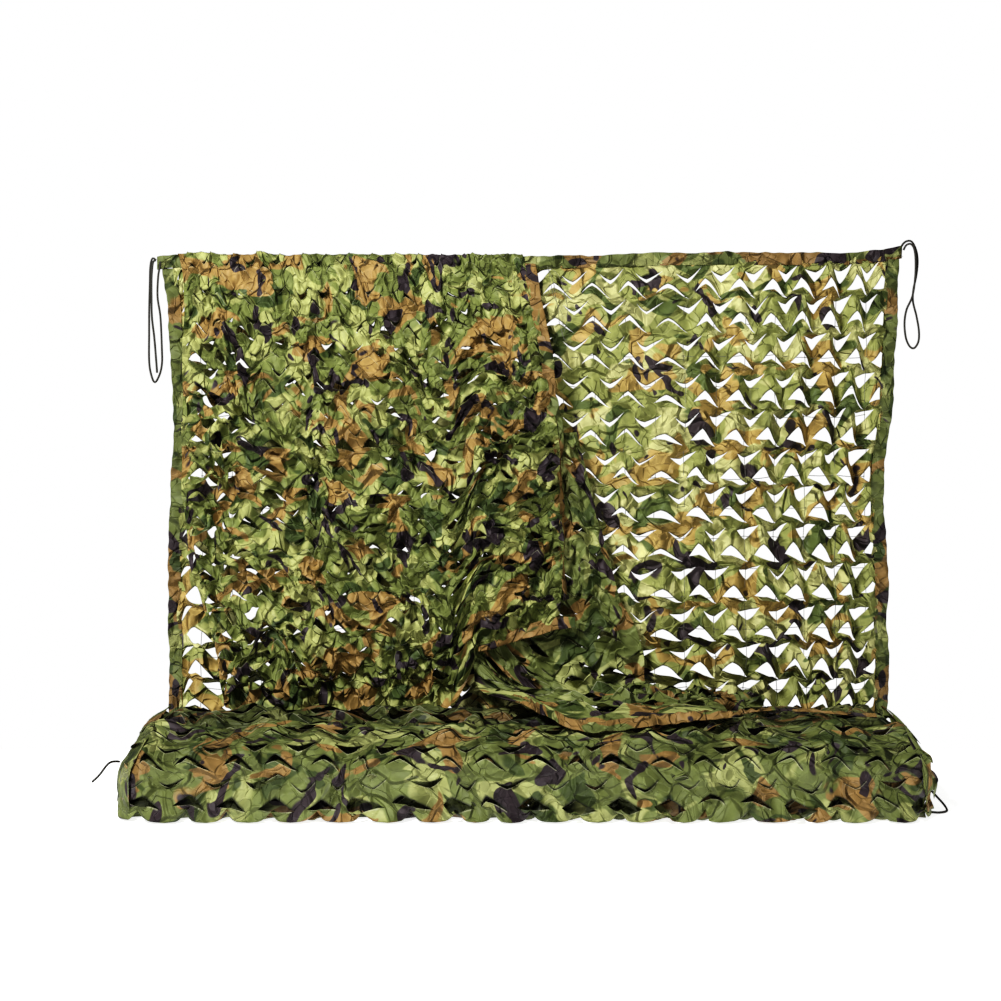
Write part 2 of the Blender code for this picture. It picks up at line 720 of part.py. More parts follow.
def smooth_route(points, spacing):
    """Points at even spacing on a smooth curve through a route in mm."""
    knots = [Vector(p) * MM for p in points]
    knots = [2 * knots[0] - knots[1], *knots, 2 * knots[-1] - knots[-2]]
    fine = []
    for a, b, c, d in zip(knots, knots[1:], knots[2:], knots[3:]):
        for i in range(24):
            t = i / 24
            bend, twist = 2 * a - 5 * b + 4 * c - d, 3 * b - a - 3 * c + d
            fine.append(0.5 * (2 * b + (c - a) * t + bend * t**2 + twist * t**3))
    fine.append(knots[-2])
    total = sum((q - p).length for p, q in zip(fine, fine[1:]))
    step, run, out = total / max(2, round(total / spacing)), 0.0, [fine[0]]
    for p, q in zip(fine, fine[1:]):
        length = (q - p).length
        while run + length >= step and len(out) < round(total / step):
            share = (step - run) / length
            p = p + (q - p) * share
            length = (q - p).length
            run = 0.0
            out.append(p)
        run += length
    return [*out, fine[-1]]


def cord(name, route, finish):
    """A round cord along a route chosen by hand."""
    points = smooth_route(route, 3 * CORD)
    curve = bpy.data.curves.new(name, "CURVE")
    curve.dimensions = "3D"
    curve.bevel_depth = CORD / 2
    curve.bevel_resolution = 2
    curve.use_fill_caps = True
    line = curve.splines.new("POLY")
    line.points.add(len(points) - 1)
    for point, place in zip(line.points, points):
        point.co = (*place, 1)
    return add(name, curve, finish)


FLOOR = -FLOOR_DROP / MM
LOOP_LEFT = (  # x, y, z from the top left corner, round the loop and back
    (-778.7, 0, -9),
    (-786, -1, -5),
    (-790, -3, -22),
    (-791, -4, -60),
    (-792, -5, -110),
    (-792, -6, -161),
    (-792, -6, -217),
    (-788, -6, -246),
    (-780, -6.5, -263),
    (-770, -7, -247),
    (-765, -7.5, -224),
    (-765, -8, -195),
    (-768, -8, -128),
    (-774, -8, -86),
    (-773, -7.5, -45),
    (-770, -5, -22),
    (-769, -4, -12),
)
TAIL_LEFT = (  # the loop's free end, beside it
    (-778.7, -4.9, -9.5),
    (-783.5, -8.5, -14),
    (-786, -10.5, -45),
    (-786, -11, -90),
    (-785, -11.5, -128),
    (-780, -12, -170),
    (-776, -12.5, -217),
    (-774, -13, -243),
)
LOOP_RIGHT = (
    (778.8, 0, 12),
    (784, -1, 22),
    (793, -2, 25),
    (800, -3, 16),
    (803, -4, -6),
    (802, -5, -45),
    (796, -5.5, -84),
    (784, -5, -112),
    (780, -4, -140),
    (783, -3, -170),
    (791, -2, -188),
    (801, -1, -192),
    (810, 0, -178),
    (811, 0.5, -155),
    (806, 1, -125),
    (799, 1.5, -95),
    (800, 2, -70),
    (806, 2.5, -42),
    (809, 2.5, -12),
    (806, 3.5, 12),
    (797, 5, 30),
    (785, 6.5, 30),
    (776, 6, 20),
    (771, 4.2, 8),
)
LOOP_ROLL = (
    (754.6, -282, FLOOR + 34),
    (761.5, -288, FLOOR + 31),
    (772, -296, FLOOR + 20),
    (782, -305, FLOOR + 9),
    (785, -317, FLOOR + 3),
    (780, -328, FLOOR + 2.4),
    (768, -334, FLOOR + 2.4),
    (756, -333, FLOOR + 2.4),
    (745, -328, FLOOR + 2.4),
)
TIE_ROLL = (
    (-789.3, -291, FLOOR + 86),
    (-794, -300, FLOOR + 89),
    (-800.5, -312, FLOOR + 91),
    (-806, -325, FLOOR + 88),
    (-816, -340, FLOOR + 74.5),
    (-827, -350, FLOOR + 64.5),
)


def cords(finish):
    cord("loop_left", LOOP_LEFT, finish)
    cord("tail_left", TAIL_LEFT, finish)
    cord("loop_right", LOOP_RIGHT, finish)
    cord("loop_roll", LOOP_ROLL, finish)
    cord("tie_roll", TIE_ROLL, finish)


def main():
    for item in list(bpy.data.objects):
        bpy.data.objects.remove(item)
    net_hung(material("hung_cloth", (0.24, 0.30, 0.09), 0.85))
    net_front(material("front_cloth", (0.14, 0.20, 0.07), 0.85))
    net_fall(material("fall_cloth", (0.10, 0.17, 0.06), 0.85))
    net_roll(material("rolled_cloth", (0.16, 0.22, 0.08), 0.85))
    tape_finish = material("binding_tape", (0.20, 0.12, 0.05), 0.8)
    panel_bindings(tape_finish)
    front_bindings(tape_finish)
    foot_binding(tape_finish)
    cords(material("cord", (0.02, 0.025, 0.02), 0.7))


main()
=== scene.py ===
# %% [markdown]
# # A camouflage net on show
# The net is one long piece of thin printed cloth. A die has cut rows of curved slits into it, and the
# cloth is laced to a mesh of string, so that each slit can gape and each tongue of cloth can curl like
# a leaf. Here one length hangs by its top edge, one is folded over in front of it, and the rest lies
# in a flattened roll on the floor. We load the plain model of it first: it fixes every place and size.

# %% Load the plain model
import math

import bpy
import numpy as np
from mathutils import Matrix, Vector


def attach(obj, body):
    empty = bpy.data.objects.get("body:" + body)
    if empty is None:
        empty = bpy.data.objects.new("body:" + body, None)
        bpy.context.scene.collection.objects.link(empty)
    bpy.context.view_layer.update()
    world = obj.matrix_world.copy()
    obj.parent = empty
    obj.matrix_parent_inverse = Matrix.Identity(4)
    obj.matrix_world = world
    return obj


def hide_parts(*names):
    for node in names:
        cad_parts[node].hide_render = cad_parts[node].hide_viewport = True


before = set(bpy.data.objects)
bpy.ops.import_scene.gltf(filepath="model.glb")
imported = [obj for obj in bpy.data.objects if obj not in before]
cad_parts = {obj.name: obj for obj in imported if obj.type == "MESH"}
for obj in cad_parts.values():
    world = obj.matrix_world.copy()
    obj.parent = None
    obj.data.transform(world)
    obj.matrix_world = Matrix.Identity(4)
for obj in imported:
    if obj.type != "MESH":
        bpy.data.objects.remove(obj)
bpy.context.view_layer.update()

MM = 0.001
FLOOR = -1057 * MM  # height of the floor: the origin is the middle of the hung top edge

# %% [markdown]
# ## Helpers for node trees
# Materials, the surround and Geometry Nodes are all trees of nodes. One helper adds a node and fills
# its inputs: a plain value is set, and another node's socket is linked. The others are short names
# for what we use most: a random pattern, a map that is slid and turned, and a value on a new scale.

# %% Helpers for node trees


def add_node(tree, kind, inputs=None, **settings):
    """A node with its settings and its inputs, each a plain value or another node's socket."""
    node = tree.nodes.new(kind)
    for name, value in settings.items():
        setattr(node, name, value)
    for name, value in (inputs or {}).items():
        if isinstance(value, bpy.types.NodeSocket):
            tree.links.new(value, node.inputs[name])
        else:
            node.inputs[name].default_value = value
    return node


def noise(tree, vector, scale, detail=2.0, distortion=0.0):
    """Cloudy values from 0 to 1."""
    inputs = {"Vector": vector, "Scale": scale, "Detail": detail, "Distortion": distortion}
    return add_node(tree, "ShaderNodeTexNoise", inputs).outputs["Fac"]


def moved(tree, vector, place=(0, 0, 0), turn=0.0, scale=(1, 1, 1)):
    """The same map, slid, turned by degrees and stretched."""
    turned = (0, 0, math.radians(turn))
    inputs = {"Vector": vector, "Location": place, "Rotation": turned, "Scale": scale}
    return add_node(tree, "ShaderNodeMapping", inputs).outputs["Vector"]


def spread(tree, value, low, high, least=0.0, most=1.0):
    """A value between low and high, spread out between least and most."""
    inputs = {"Value": value, "From Min": low, "From Max": high, "To Min": least, "To Max": most}
    return add_node(tree, "ShaderNodeMapRange", inputs).outputs["Result"]


def vector_sum(tree, operation, inputs):
    """The result of one step of arithmetic with vectors."""
    outputs = add_node(tree, "ShaderNodeVectorMath", inputs, operation=operation).outputs
    return outputs["Value" if operation == "DOT_PRODUCT" else "Vector"]


def new_material(name, roughness):
    """A material with its tree and its shader."""
    material = bpy.data.materials.new(name)
    material.use_nodes = True
    shader = material.node_tree.nodes["Principled BSDF"]
    shader.inputs["Roughness"].default_value = roughness
    return material, material.node_tree, shader


def keep(data, name):
    """An object of its own for a mesh, a curve, a lamp or a camera, kept in the scene."""
    kept = bpy.data.objects.new(name, data)
    bpy.context.collection.objects.link(kept)
    return kept


print("made with Blender", bpy.app.version_string)

# %% [markdown]
# ## Camera and light
# The photograph was taken from a metre above the floor with a longish lens, square on. The lens shift
# keeps the verticals upright while the net sits low in the frame. A white surround and two soft lamps
# give the light of a catalogue picture, with the main light from above on the left. The surround looks
# brighter than the light it gives, or it would wash out the shade between the leaves. A gentle curve
# deepens the darks, as such pictures are printed.

# %% Camera and light
CAMERA_PLACE = (-61 * MM, -3.5, -57 * MM)
LENS_MM = 60.4
SHIFT = -0.217
LAMP_AIM = (0, 0, -0.6)
LAMPS = (  # name, place and size in metres, watts
    ("key", (-1.5, -2.5, 1.9), 0.7, 186),
    ("fill", (2.2, -3.2, 0.4), 2.0, 12),
)
SURROUND_SEEN, SURROUND_LIGHT = 1.0, 0.18  # how bright it looks, and how bright it shines
TONES = ((0.03, 0.016), (0.12, 0.10), (0.4, 0.43))  # light in and light out


def add_camera():
    """A camera that looks straight back at the net."""
    data = bpy.data.cameras.new("camera")
    data.lens, data.shift_y = LENS_MM, SHIFT
    camera = keep(data, "camera")
    camera.location = CAMERA_PLACE
    camera.rotation_euler = (math.radians(90), 0, 0)
    bpy.context.scene.camera = camera


def add_lamp(name, place, size, watts):
    """A soft square lamp that faces the net."""
    data = bpy.data.lights.new(name, "AREA")
    data.size, data.energy = size, watts
    lamp = keep(data, name)
    lamp.location = place
    away = Vector(place) - Vector(LAMP_AIM)
    lamp.rotation_euler = away.to_track_quat("Z", "Y").to_euler()


def add_surround():
    """A white surround that looks brighter than the light it gives."""
    world = bpy.data.worlds.new("surround")
    world.use_nodes = True
    tree = world.node_tree
    background = tree.nodes["Background"]
    background.inputs["Color"].default_value = (1, 1, 1, 1)
    seen = add_node(tree, "ShaderNodeLightPath").outputs["Is Camera Ray"]
    strength = spread(tree, seen, 0, 1, SURROUND_LIGHT, SURROUND_SEEN)
    tree.links.new(strength, background.inputs["Strength"])
    bpy.context.scene.world = world


def set_tones():
    """Plain colours, with a curve through the tones."""
    view = bpy.context.scene.view_settings
    view.view_transform = "Standard"
    view.use_curve_mapping = True
    curve = view.curve_mapping.curves[3]
    for light_in, light_out in TONES:
        curve.points.new(light_in, light_out)
    view.curve_mapping.update()


add_camera()
add_surround()
for lamp in LAMPS:
    add_lamp(*lamp)
set_tones()
print("camera at", CAMERA_PLACE)

# %% [markdown]
# ## Helpers for numbers
# Tables hold what was measured: a height or a place for a few values of x or of the drop. Between its
# rows a table is read in a straight line. `relief` is a gentle random surface, made of a dozen waves
# whose directions come from a fixed seed, so that the net is the same at each run.

# %% Helpers for numbers


def read_table(table, value):
    """The second column of a table in mm at values of its first, in metres."""
    rows = np.array(table, float)
    return np.interp(np.asarray(value) / MM, rows[:, 0], rows[:, 1]) * MM


def ease(share):
    """0 to 1 with soft ends."""
    share = np.clip(share, 0, 1)
    return share * share * (3 - 2 * share)


def ridge(turns):
    """A wave from -1 to 1 with a crease at each end of its swing."""
    return 4 * np.abs(turns - np.floor(turns + 0.5)) - 1


def relief(x, y, size, seed, waves=12):
    """Smooth random heights of about -1 to 1, with bumps of about the given size."""
    dice = np.random.default_rng(seed)
    total = np.zeros(np.broadcast(x, y).shape)
    for _ in range(waves):
        angle, phase = dice.uniform(0, 2 * math.pi, 2)
        length = size * dice.uniform(0.75, 1.5)
        total += np.sin(2 * math.pi * (x * math.cos(angle) + y * math.sin(angle)) / length + phase)
    return total / math.sqrt(waves)


def run_lengths(points):
    """How far along a line each of its points lies."""
    steps = np.linalg.norm(np.diff(points, axis=0), axis=1)
    return np.concatenate([[0], np.cumsum(steps)])


print("a relief of 40 mm bumps:", relief(np.arange(3) * 0.01, 0.0, 0.04, 1).round(2))

# %% [markdown]
# ## The die
# The die's slits lie on a family of parallel wavy lines. On one line the slits follow the troughs, so
# they look like smiles; on the next, half a pitch lower, they follow the crests, like frowns. If the
# mesh's own lines follow the same wave, every slit runs along mesh edges, and cutting it only means
# giving its inner points a second copy, one for each lip. No boolean is needed.
#
# When the cloth is pulled, the tongue above a smile and the tongue below a frown curl out of the way,
# and the ribs between them lean. Each slit opens by its own share, since no two leaves are alike. A
# slit that reaches the side edge ends there, and the binding sewn over it holds its end shut.

# %% The die's pattern
LEAF = 79 * MM  # pitch of the die, sideways and down
ACROSS, DOWN = 10, 8  # mesh steps in one pitch
WAVE = 0.43  # height from a trough to the next crest, as a share of the pitch
POINTED = 0.45  # 0 for a round wave, 1 for a zigzag
SMILE = (-3, 4)  # mesh steps from the trough to the left and the right tip
FROWN = (2, 10)  # the same for the slit round the crest
SMILE_LIFT = (0, 8, 16.5, 22, 19.5, 13, 5.5, 0)  # mm that the upper lip rises at each step, wide open
FROWN_DROP = (0, 9.5, 18.5, 24, 22, 16.5, 10, 3.5, 0)  # mm that the lower lip falls, wide open
SMILE_CURL = -0.6  # a smile's tongue curls less, and to the other side
LEAST_OPEN = 0.1  # no slit is fully shut


class Cut:
    """A sheet of die-cut cloth lying flat: its points, its faces and where its lips are."""

    def __init__(self, columns, rows, first_smile, pitch=LEAF, ragged=False):
        """columns and rows count mesh steps; first_smile is the step of the first line of smiles.

        i and j then hold each point's step across and down. ragged leaves the last edge wavy, as the
        die cut it."""
        self.columns, self.rows, self.first_smile = columns, rows, first_smile
        self.pitch, self.ragged = pitch, ragged
        i, j = np.meshgrid(np.arange(columns + 1), np.arange(rows + 1), indexing="ij")
        above = np.arange(i.size).reshape(i.shape)
        below = above.copy()
        self.i, self.j = list(i.ravel()), list(j.ravel())
        self.lip = [0] * i.size  # -1 on a lower lip, 1 on an upper lip
        self.slits, tips = [], []
        half = DOWN // 2
        for line in range(first_smile % half, rows, half):
            frown = ((line - first_smile) // half) % 2 == 1
            start, end = FROWN if frown else SMILE
            for trough in range(-ACROSS, columns + ACROSS, ACROSS):
                left, right = max(1, trough + start), min(columns - 1, trough + end)
                if line < 2 or line > rows - 2 or right - left < 3:
                    continue
                self.slits.append((left, right, trough + start, line, frown))
                tips += [above[left, line], above[right, line]]
                for step in range(left + 1, right):
                    below[step, line] = len(self.i)
                    self.i.append(step)
                    self.j.append(line)
                    self.lip.append(-1)
                    self.lip[above[step, line]] = 1
        self.i, self.j, self.lip = np.array(self.i), np.array(self.j), np.array(self.lip)
        self.tips = np.array(tips)
        a, b = below[:-1, :-1], below[1:, :-1]
        c, d = above[1:, 1:], above[:-1, 1:]
        self.faces = np.stack([a, d, c, b], axis=-1).reshape(-1, 4)

    def zigzag(self):
        """-1 in the troughs and 1 on the crests, in a straight line between."""
        return 1 - 2 * np.abs(2 * ((self.i / ACROSS) % 1) - 1)

    def diamonds(self):
        """-1 to 1: flat facets, each about as large as a leaf, that meet in creases."""
        across, down = self.i / ACROSS, (self.j - self.first_smile) / DOWN
        return (ridge(across + 0.5 * down) + ridge(across - 0.5 * down + 0.3)) / 2

    def wave(self):
        """The height of the wavy line above its troughs, calm at the sheet's straight ends."""
        from_end = self.j if self.ragged else np.minimum(self.j, self.rows - self.j)
        calm = np.clip(from_end / 3, 0, 1)
        round_wave = (1 - np.cos(2 * math.pi * self.i / ACROSS)) / 2
        shape = (1 - POINTED) * round_wave + POINTED * (1 + self.zigzag()) / 2
        return calm * WAVE * self.pitch * shape

    def flat(self):
        """Each point's place on the cutting table: across, and up from the top edge."""
        across, up = self.i * self.pitch / ACROSS, self.wave() - self.j * self.pitch / DOWN
        return np.stack([across, up], axis=1)

    def size(self):
        """Width and length on the cutting table."""
        return self.columns * self.pitch / ACROSS, self.rows * self.pitch / DOWN

    def down(self):
        """How far down the sheet each point lies on the cutting table, from 0 to 1."""
        up = self.flat()[:, 1]
        return (up.max() - up) / (up.max() - up.min())

    def gape(self, uneven, seed, widest=2.2):
        """For every slit wide open: how far each point rises, how far tongues curl, and ribs lean."""
        half = DOWN // 2
        dice = np.random.default_rng(seed)
        rise, curl, lean = np.zeros((3, len(self.i)))
        for left, right, tip, line, frown in self.slits:
            own = float(np.clip(1 + uneven * dice.normal(), LEAST_OPEN, widest))
            profile = np.array(FROWN_DROP if frown else SMILE_LIFT) * MM * self.pitch / LEAF
            most = own * np.interp(self.i, tip + np.arange(len(profile)), profile, left=0, right=0)
            most = np.where((self.i > left) & (self.i < right), most, 0)  # the binding holds it shut
            side = 1 if frown else -1  # the tongue lies below a frown and above a smile
            share = side * (self.j - line) / half
            tongue = (share >= 0) & (share < 1) & ((share > 0) | (side * self.lip < 0))
            rib = (share <= 0) & (share > -1) & ((share < 0) | (side * self.lip > 0))
            rise -= side * np.where(tongue, most * (1 - share), 0)
            curl += np.where(tongue, most * (1 - share) * (1.0 if frown else SMILE_CURL), 0)
            lean += np.where(rib, side * most * (1 + share), 0)
        return rise, curl, lean


# %% A trial piece
sample = Cut(40, 32, 4)
print("a trial piece:", len(sample.i), "points,", len(sample.slits), "slits")

# %% [markdown]
# ## Letting the cloth settle
# Cloth bends easily but hardly stretches. Where it is bunched up there is more of it than room, so it
# has to buckle, and that is what curls the leaves. We place a sheet roughly, with too little room, and
# then nudge all its points many times until every mesh edge has the length it has on the cutting
# table. A few points are tied to the string mesh and stay near their places. This is a small cloth
# simulation of our own: it takes seconds and gives the same folds at each run.

# %% Settle a sheet
SIDES_AND_DIAGONALS = ([0, 1], [1, 2], [2, 3], [3, 0], [0, 2], [1, 3])  # corners of a face
EAGERNESS = 1.7  # of a point's fair share of each nudge; the cloth would shake apart above 2


def links(cut):
    """Pairs of points with their flat distance: mesh edges and diagonals, then two-step pairs."""
    near = np.concatenate([cut.faces[:, pair] for pair in SIDES_AND_DIAGONALS])
    near = np.unique(np.sort(near, axis=1), axis=0)
    grid = cut.faces.reshape(cut.columns, cut.rows, 4)
    side = np.stack([grid[:-1, :, 0], grid[1:, :, 3]], axis=-1).reshape(-1, 2)
    joined = grid[:, :-1, 1] == grid[:, 1:, 0]
    down = np.stack([grid[:, :-1, 0][joined], grid[:, 1:, 1][joined]], axis=-1)
    far = np.concatenate([side, down])
    flat = cut.flat()
    lengths = [np.linalg.norm(flat[p[:, 0]] - flat[p[:, 1]], axis=1) for p in (near, far)]
    return np.concatenate([near, far]), np.concatenate(lengths), len(near)


def settle(cut, points, tied, rounds, hold=0.3, bend=0.25, room=None):
    """Nudge the points until the cloth has its flat lengths again.

    hold is how firmly tied points stay, bend how stiff the cloth is, and room(points) keeps them in."""
    pairs, length, near = links(cut)
    a, b = pairs.T
    count = len(points)
    strength = np.full(len(pairs), bend)
    strength[:near] = 1.0
    share = EAGERNESS / (np.bincount(a, minlength=count) + np.bincount(b, minlength=count))
    home = points[tied].copy()
    points = points.copy()
    for _ in range(rounds):
        gap = points[b] - points[a]
        now = np.sqrt((gap * gap).sum(axis=1)) + 1e-9
        pull = 0.5 * strength * (now - length) / now
        pull[near:] = np.minimum(pull[near:], 0)
        for axis in range(3):
            move = gap[:, axis] * pull
            drawn = np.bincount(a, move, minlength=count) - np.bincount(b, move, minlength=count)
            points[:, axis] += share * drawn
        points[tied] += hold * (home - points[tied])
        if room is not None:
            room(points)
    gap = points[b] - points[a]
    now = np.sqrt((gap * gap).sum(axis=1))
    print("  settled: mesh edges are on average", round(float((now / length)[:near].mean()), 3), "long")
    return points


# %% Lacing and rim


def lacing(cut, share=1.0, seed=3):
    """The points between the slits' tips, where the cloth is laced to the string mesh."""
    half = DOWN // 2
    smile_line = (cut.j - cut.first_smile) % DOWN == 0
    frown_line = (cut.j - cut.first_smile) % DOWN == half
    at = cut.i % ACROSS
    tied = (smile_line & (at == 5)) | (frown_line & (at == 1))
    kept = np.random.default_rng(seed).random(len(tied)) < share
    return np.flatnonzero(tied & kept & (cut.lip == 0))


def rim(cut, foot=True):
    """The points of the top and side edges, and of the foot."""
    edge = (cut.i == 0) | (cut.i == cut.columns) | (cut.j == 0)
    return np.flatnonzero(edge | (foot & (cut.j == cut.rows)))


print("lacing points of the trial piece:", len(lacing(sample)))

# %% [markdown]
# ## The print and the creases
# Woodland camouflage is four colours laid over one another: yellow-green and mid green patches, then
# brown, then black branches. Each colour is a noise that is cut off at a level, so its edge is crisp
# and its patches never repeat. The pattern reads the cloth's own flat map, in metres, so it is printed
# before the cloth is cut and folded, as on the real thing. The colour varies a little from thread to
# thread. Along the slits light and shade are painted on: a thin painted highlight on each lower lip and
# painted shade in the gap under each upper lip. Thin cloth that hangs clear lets light through and looks
# paler and yellower; that light is painted into the panel's inks, which are lighter than the roll's.
# The roll's inks are a darker copy of the same print, as painted shade.
#
# Crumpled cloth isn't wavy: it breaks into small flat planes with creases between them. A texture of
# random cells gives us such planes. Each cell has a random colour, and we read that colour as the way
# in which the cell's plane leans. The height is then how far a point lies from the cell's middle,
# times that lean. It goes into the bump, since such creases are too fine for the mesh, with a weave.

# %% Inks
# Painted light: the hung panel's inks are paler and yellower, for the light that comes through the thin
# cloth.
CLEAR_INKS = {  # where light comes through
    "light": (0.500, 0.495, 0.200),
    "mid": (0.265, 0.285, 0.088),
    "dark": (0.095, 0.125, 0.036),
    "brown": (0.400, 0.275, 0.085),
    "black": (0.040, 0.030, 0.032),
}
INKS = {
    "light": (0.365, 0.385, 0.130),
    "mid": (0.160, 0.188, 0.052),
    "dark": (0.056, 0.080, 0.022),
    "brown": (0.320, 0.200, 0.064),
    "black": (0.030, 0.021, 0.025),
}
# Painted shade: the roll's inks are a darker copy of the same print.
ROLL_INKS = {
    "light": (0.290, 0.308, 0.112),
    "mid": (0.124, 0.146, 0.044),
    "dark": (0.048, 0.066, 0.018),
    "brown": (0.235, 0.144, 0.048),
    "black": (0.028, 0.019, 0.022),
}

# %% The print
# Painted light at the slits: a painted highlight along each lower lip, and painted shade in the gap under
# each upper lip.
LIP_HIGHLIGHT = (0.62, 0.62, 0.42)  # a cut edge that catches the light
LIP_SHADE = (0.008, 0.009, 0.004)  # the gap under a leaf
LIP_HIGHLIGHT_SHARE, LIP_SHADE_SHARE = 0.4, 0.9
PATCH_EDGE, FINE_EDGE = 0.012, 0.008  # how soft the edges of the green patches and of the others are
DARK_LEVEL, BLACK_LEVEL = 0.60, 0.625  # the noise must pass this for the ink to show
FADE = (0.45, 1.55)  # darkest and lightest threads


def dimmed(inks, share):
    """The same inks in more or less light."""
    return {ink: tuple(share * c for c in colour) for ink, colour in inks.items()}


def mix_colour(tree, share, one, other):
    """one where share is 0 and other where it is 1; both may be colours or sockets."""
    one, other = ((*value, 1) if isinstance(value, tuple) else value for value in (one, other))
    return add_node(tree, "ShaderNodeMix", {0: share, 6: one, 7: other}, data_type="RGBA").outputs[2]


def print_ink(tree, colour, ink, pattern, level, soft):
    """Lay an ink over the colour wherever the pattern passes the level."""
    return mix_colour(tree, spread(tree, pattern, level - soft, level + soft), colour, ink)


def print_colour(tree, flat, inks, light_share, brown_level):
    """The five inks of the print, laid over one another on the flat map."""
    patch = noise(tree, flat, 11.0, 1.6, 0.7)
    shade = noise(tree, moved(tree, flat, (3, 1, 0), 20), 13.0, 1.5, 0.7)
    earth = noise(tree, moved(tree, flat, (7, 5, 0), -25, (1, 1.25, 1)), 10.5, 1.7, 0.6)
    branch = noise(tree, moved(tree, flat, (11, 2, 0), 35, (1.1, 0.9, 1)), 14.5, 1.4, 0.9)
    colour = print_ink(tree, inks["light"], inks["mid"], patch, light_share, PATCH_EDGE)
    colour = print_ink(tree, colour, inks["dark"], shade, DARK_LEVEL, PATCH_EDGE)
    colour = print_ink(tree, colour, inks["brown"], earth, brown_level, FINE_EDGE)
    return print_ink(tree, colour, inks["black"], branch, BLACK_LEVEL, FINE_EDGE)


def lip_highlight_and_shade(tree, colour):
    """Painted light at the slits: a thin painted highlight along their lower lips, and painted shade
    under their upper lips.
    """
    lip = add_node(tree, "ShaderNodeAttribute", attribute_name="lip").outputs["Fac"]
    colour = mix_colour(tree, spread(tree, lip, -0.75, -1.0, 0.0, LIP_HIGHLIGHT_SHARE), colour, LIP_HIGHLIGHT)
    return mix_colour(tree, spread(tree, lip, 0.50, 0.95, 0.0, LIP_SHADE_SHARE), colour, LIP_SHADE)


# %% The creases
PLANES = ((35, 46 * MM, 0.68), (-20, 20 * MM, 0.40))  # turn, size and tilt of the small planes
PLANE_BLEND = 0.38  # 0 for knife-sharp creases
BEND_SCALE, BEND = 14.0, 0.05  # how often and how far the creases wander


def crumple(tree, flat, depth):
    """Heights in metres of crumpled cloth: small planes of two sizes, each with its own tilt."""
    bent = add_node(tree, "ShaderNodeTexNoise", {"Vector": flat, "Scale": BEND_SCALE, "Detail": 1.0})
    off = vector_sum(tree, "SCALE", {0: bent.outputs["Color"], "Scale": BEND})
    place = vector_sum(tree, "ADD", {0: flat, 1: off})
    total = 0.0
    for turn, size, tilt in PLANES:
        turned = moved(tree, place, turn=turn)
        inputs = {"Vector": turned, "Scale": 1 / size, "Smoothness": PLANE_BLEND}
        kind = {"voronoi_dimensions": "2D", "feature": "SMOOTH_F1"}
        cells = add_node(tree, "ShaderNodeTexVoronoi", inputs, **kind).outputs
        within = vector_sum(tree, "SUBTRACT", {0: turned, 1: cells["Position"]})
        most = tilt * depth
        tilts = {0: cells["Color"], 1: (2 * most, 2 * most, 0), 2: (-most, -most, 0)}
        lean = vector_sum(tree, "MULTIPLY_ADD", tilts)
        height = vector_sum(tree, "DOT_PRODUCT", {0: within, 1: lean})
        total = add_node(tree, "ShaderNodeMath", {0: height, 1: total}, operation="ADD").outputs[0]
    return total


# %% A cloth material


def cloth_material(name, place, inks, light_share, brown_level, crumpled):
    """Printed die-cut cloth. place slides the print, so that no two pieces match."""
    material, tree, shader = new_material(name, 0.6)
    flat = add_node(tree, "ShaderNodeUVMap", uv_map="flat").outputs["UV"]
    flat = moved(tree, flat, (*place, 0))
    colour = print_colour(tree, flat, inks, light_share, brown_level)
    fade = noise(tree, moved(tree, flat, (1, 9, 0)), 50.0, 5.0)
    colour = vector_sum(tree, "SCALE", {0: colour, "Scale": spread(tree, fade, 0, 1, *FADE)})
    # the painted highlight and painted shade at the slits' lips go over the print
    tree.links.new(lip_highlight_and_shade(tree, colour), shader.inputs["Base Color"])
    creases = {"Height": crumple(tree, flat, crumpled), "Strength": 0.85, "Distance": 1.0}
    creased = add_node(tree, "ShaderNodeBump", creases).outputs["Normal"]
    threads = {"Vector": flat, "Scale": 260.0}
    weave = add_node(tree, "ShaderNodeTexWave", threads, bands_direction="DIAGONAL").outputs["Fac"]
    woven = {"Height": weave, "Normal": creased, "Strength": 0.15, "Distance": 0.0004}
    tree.links.new(add_node(tree, "ShaderNodeBump", woven).outputs["Normal"], shader.inputs["Normal"])
    shader.inputs["Specular IOR Level"].default_value = 0.32
    return material


# %% Pieces of cloth


def add_piece(name, points, faces, flat, material):
    """A piece of cloth from points and faces, with its flat map in metres."""
    mesh = bpy.data.meshes.new(name)
    mesh.from_pydata(points.tolist(), [], faces.tolist())
    layer = mesh.uv_layers.new(name="flat")
    corners = np.empty(len(mesh.loops), dtype=np.int32)
    mesh.loops.foreach_get("vertex_index", corners)
    layer.data.foreach_set("uv", flat[corners].astype(np.float32).ravel())
    mesh.shade_smooth()
    mesh.materials.append(material)
    return keep(mesh, name)


def add_attribute(mesh, name, domain, values):
    """A number for each point or edge of a mesh."""
    attribute = mesh.attributes.new(name, "FLOAT", domain)
    attribute.data.foreach_set("value", values.astype(np.float32))


def sheet_piece(name, cut, points, material):
    """A piece from a settled sheet, smoothed once but sharp at slit tips and along the wave's folds."""
    piece = add_piece(name, points, cut.faces, cut.flat(), material)
    add_attribute(piece.data, "crease_vert", "POINT", np.isin(np.arange(len(points)), cut.tips))
    ends = np.empty(2 * len(piece.data.edges), dtype=np.int32)
    piece.data.edges.foreach_get("vertices", ends)
    a, b = cut.i[ends.reshape(-1, 2)].T
    folded = (a == b) & (a % (ACROSS // 2) == 0)
    add_attribute(piece.data, "crease_edge", "EDGE", 0.9 * folded)
    add_attribute(piece.data, "lip", "POINT", cut.lip)
    smooth = piece.modifiers.new("smooth", "SUBSURF")
    smooth.levels = smooth.render_levels = 1
    print(name, len(points), "points,", len(cut.slits), "slits")
    return piece


print("creases of", [round(size / MM) for _, size, _ in PLANES], "mm")

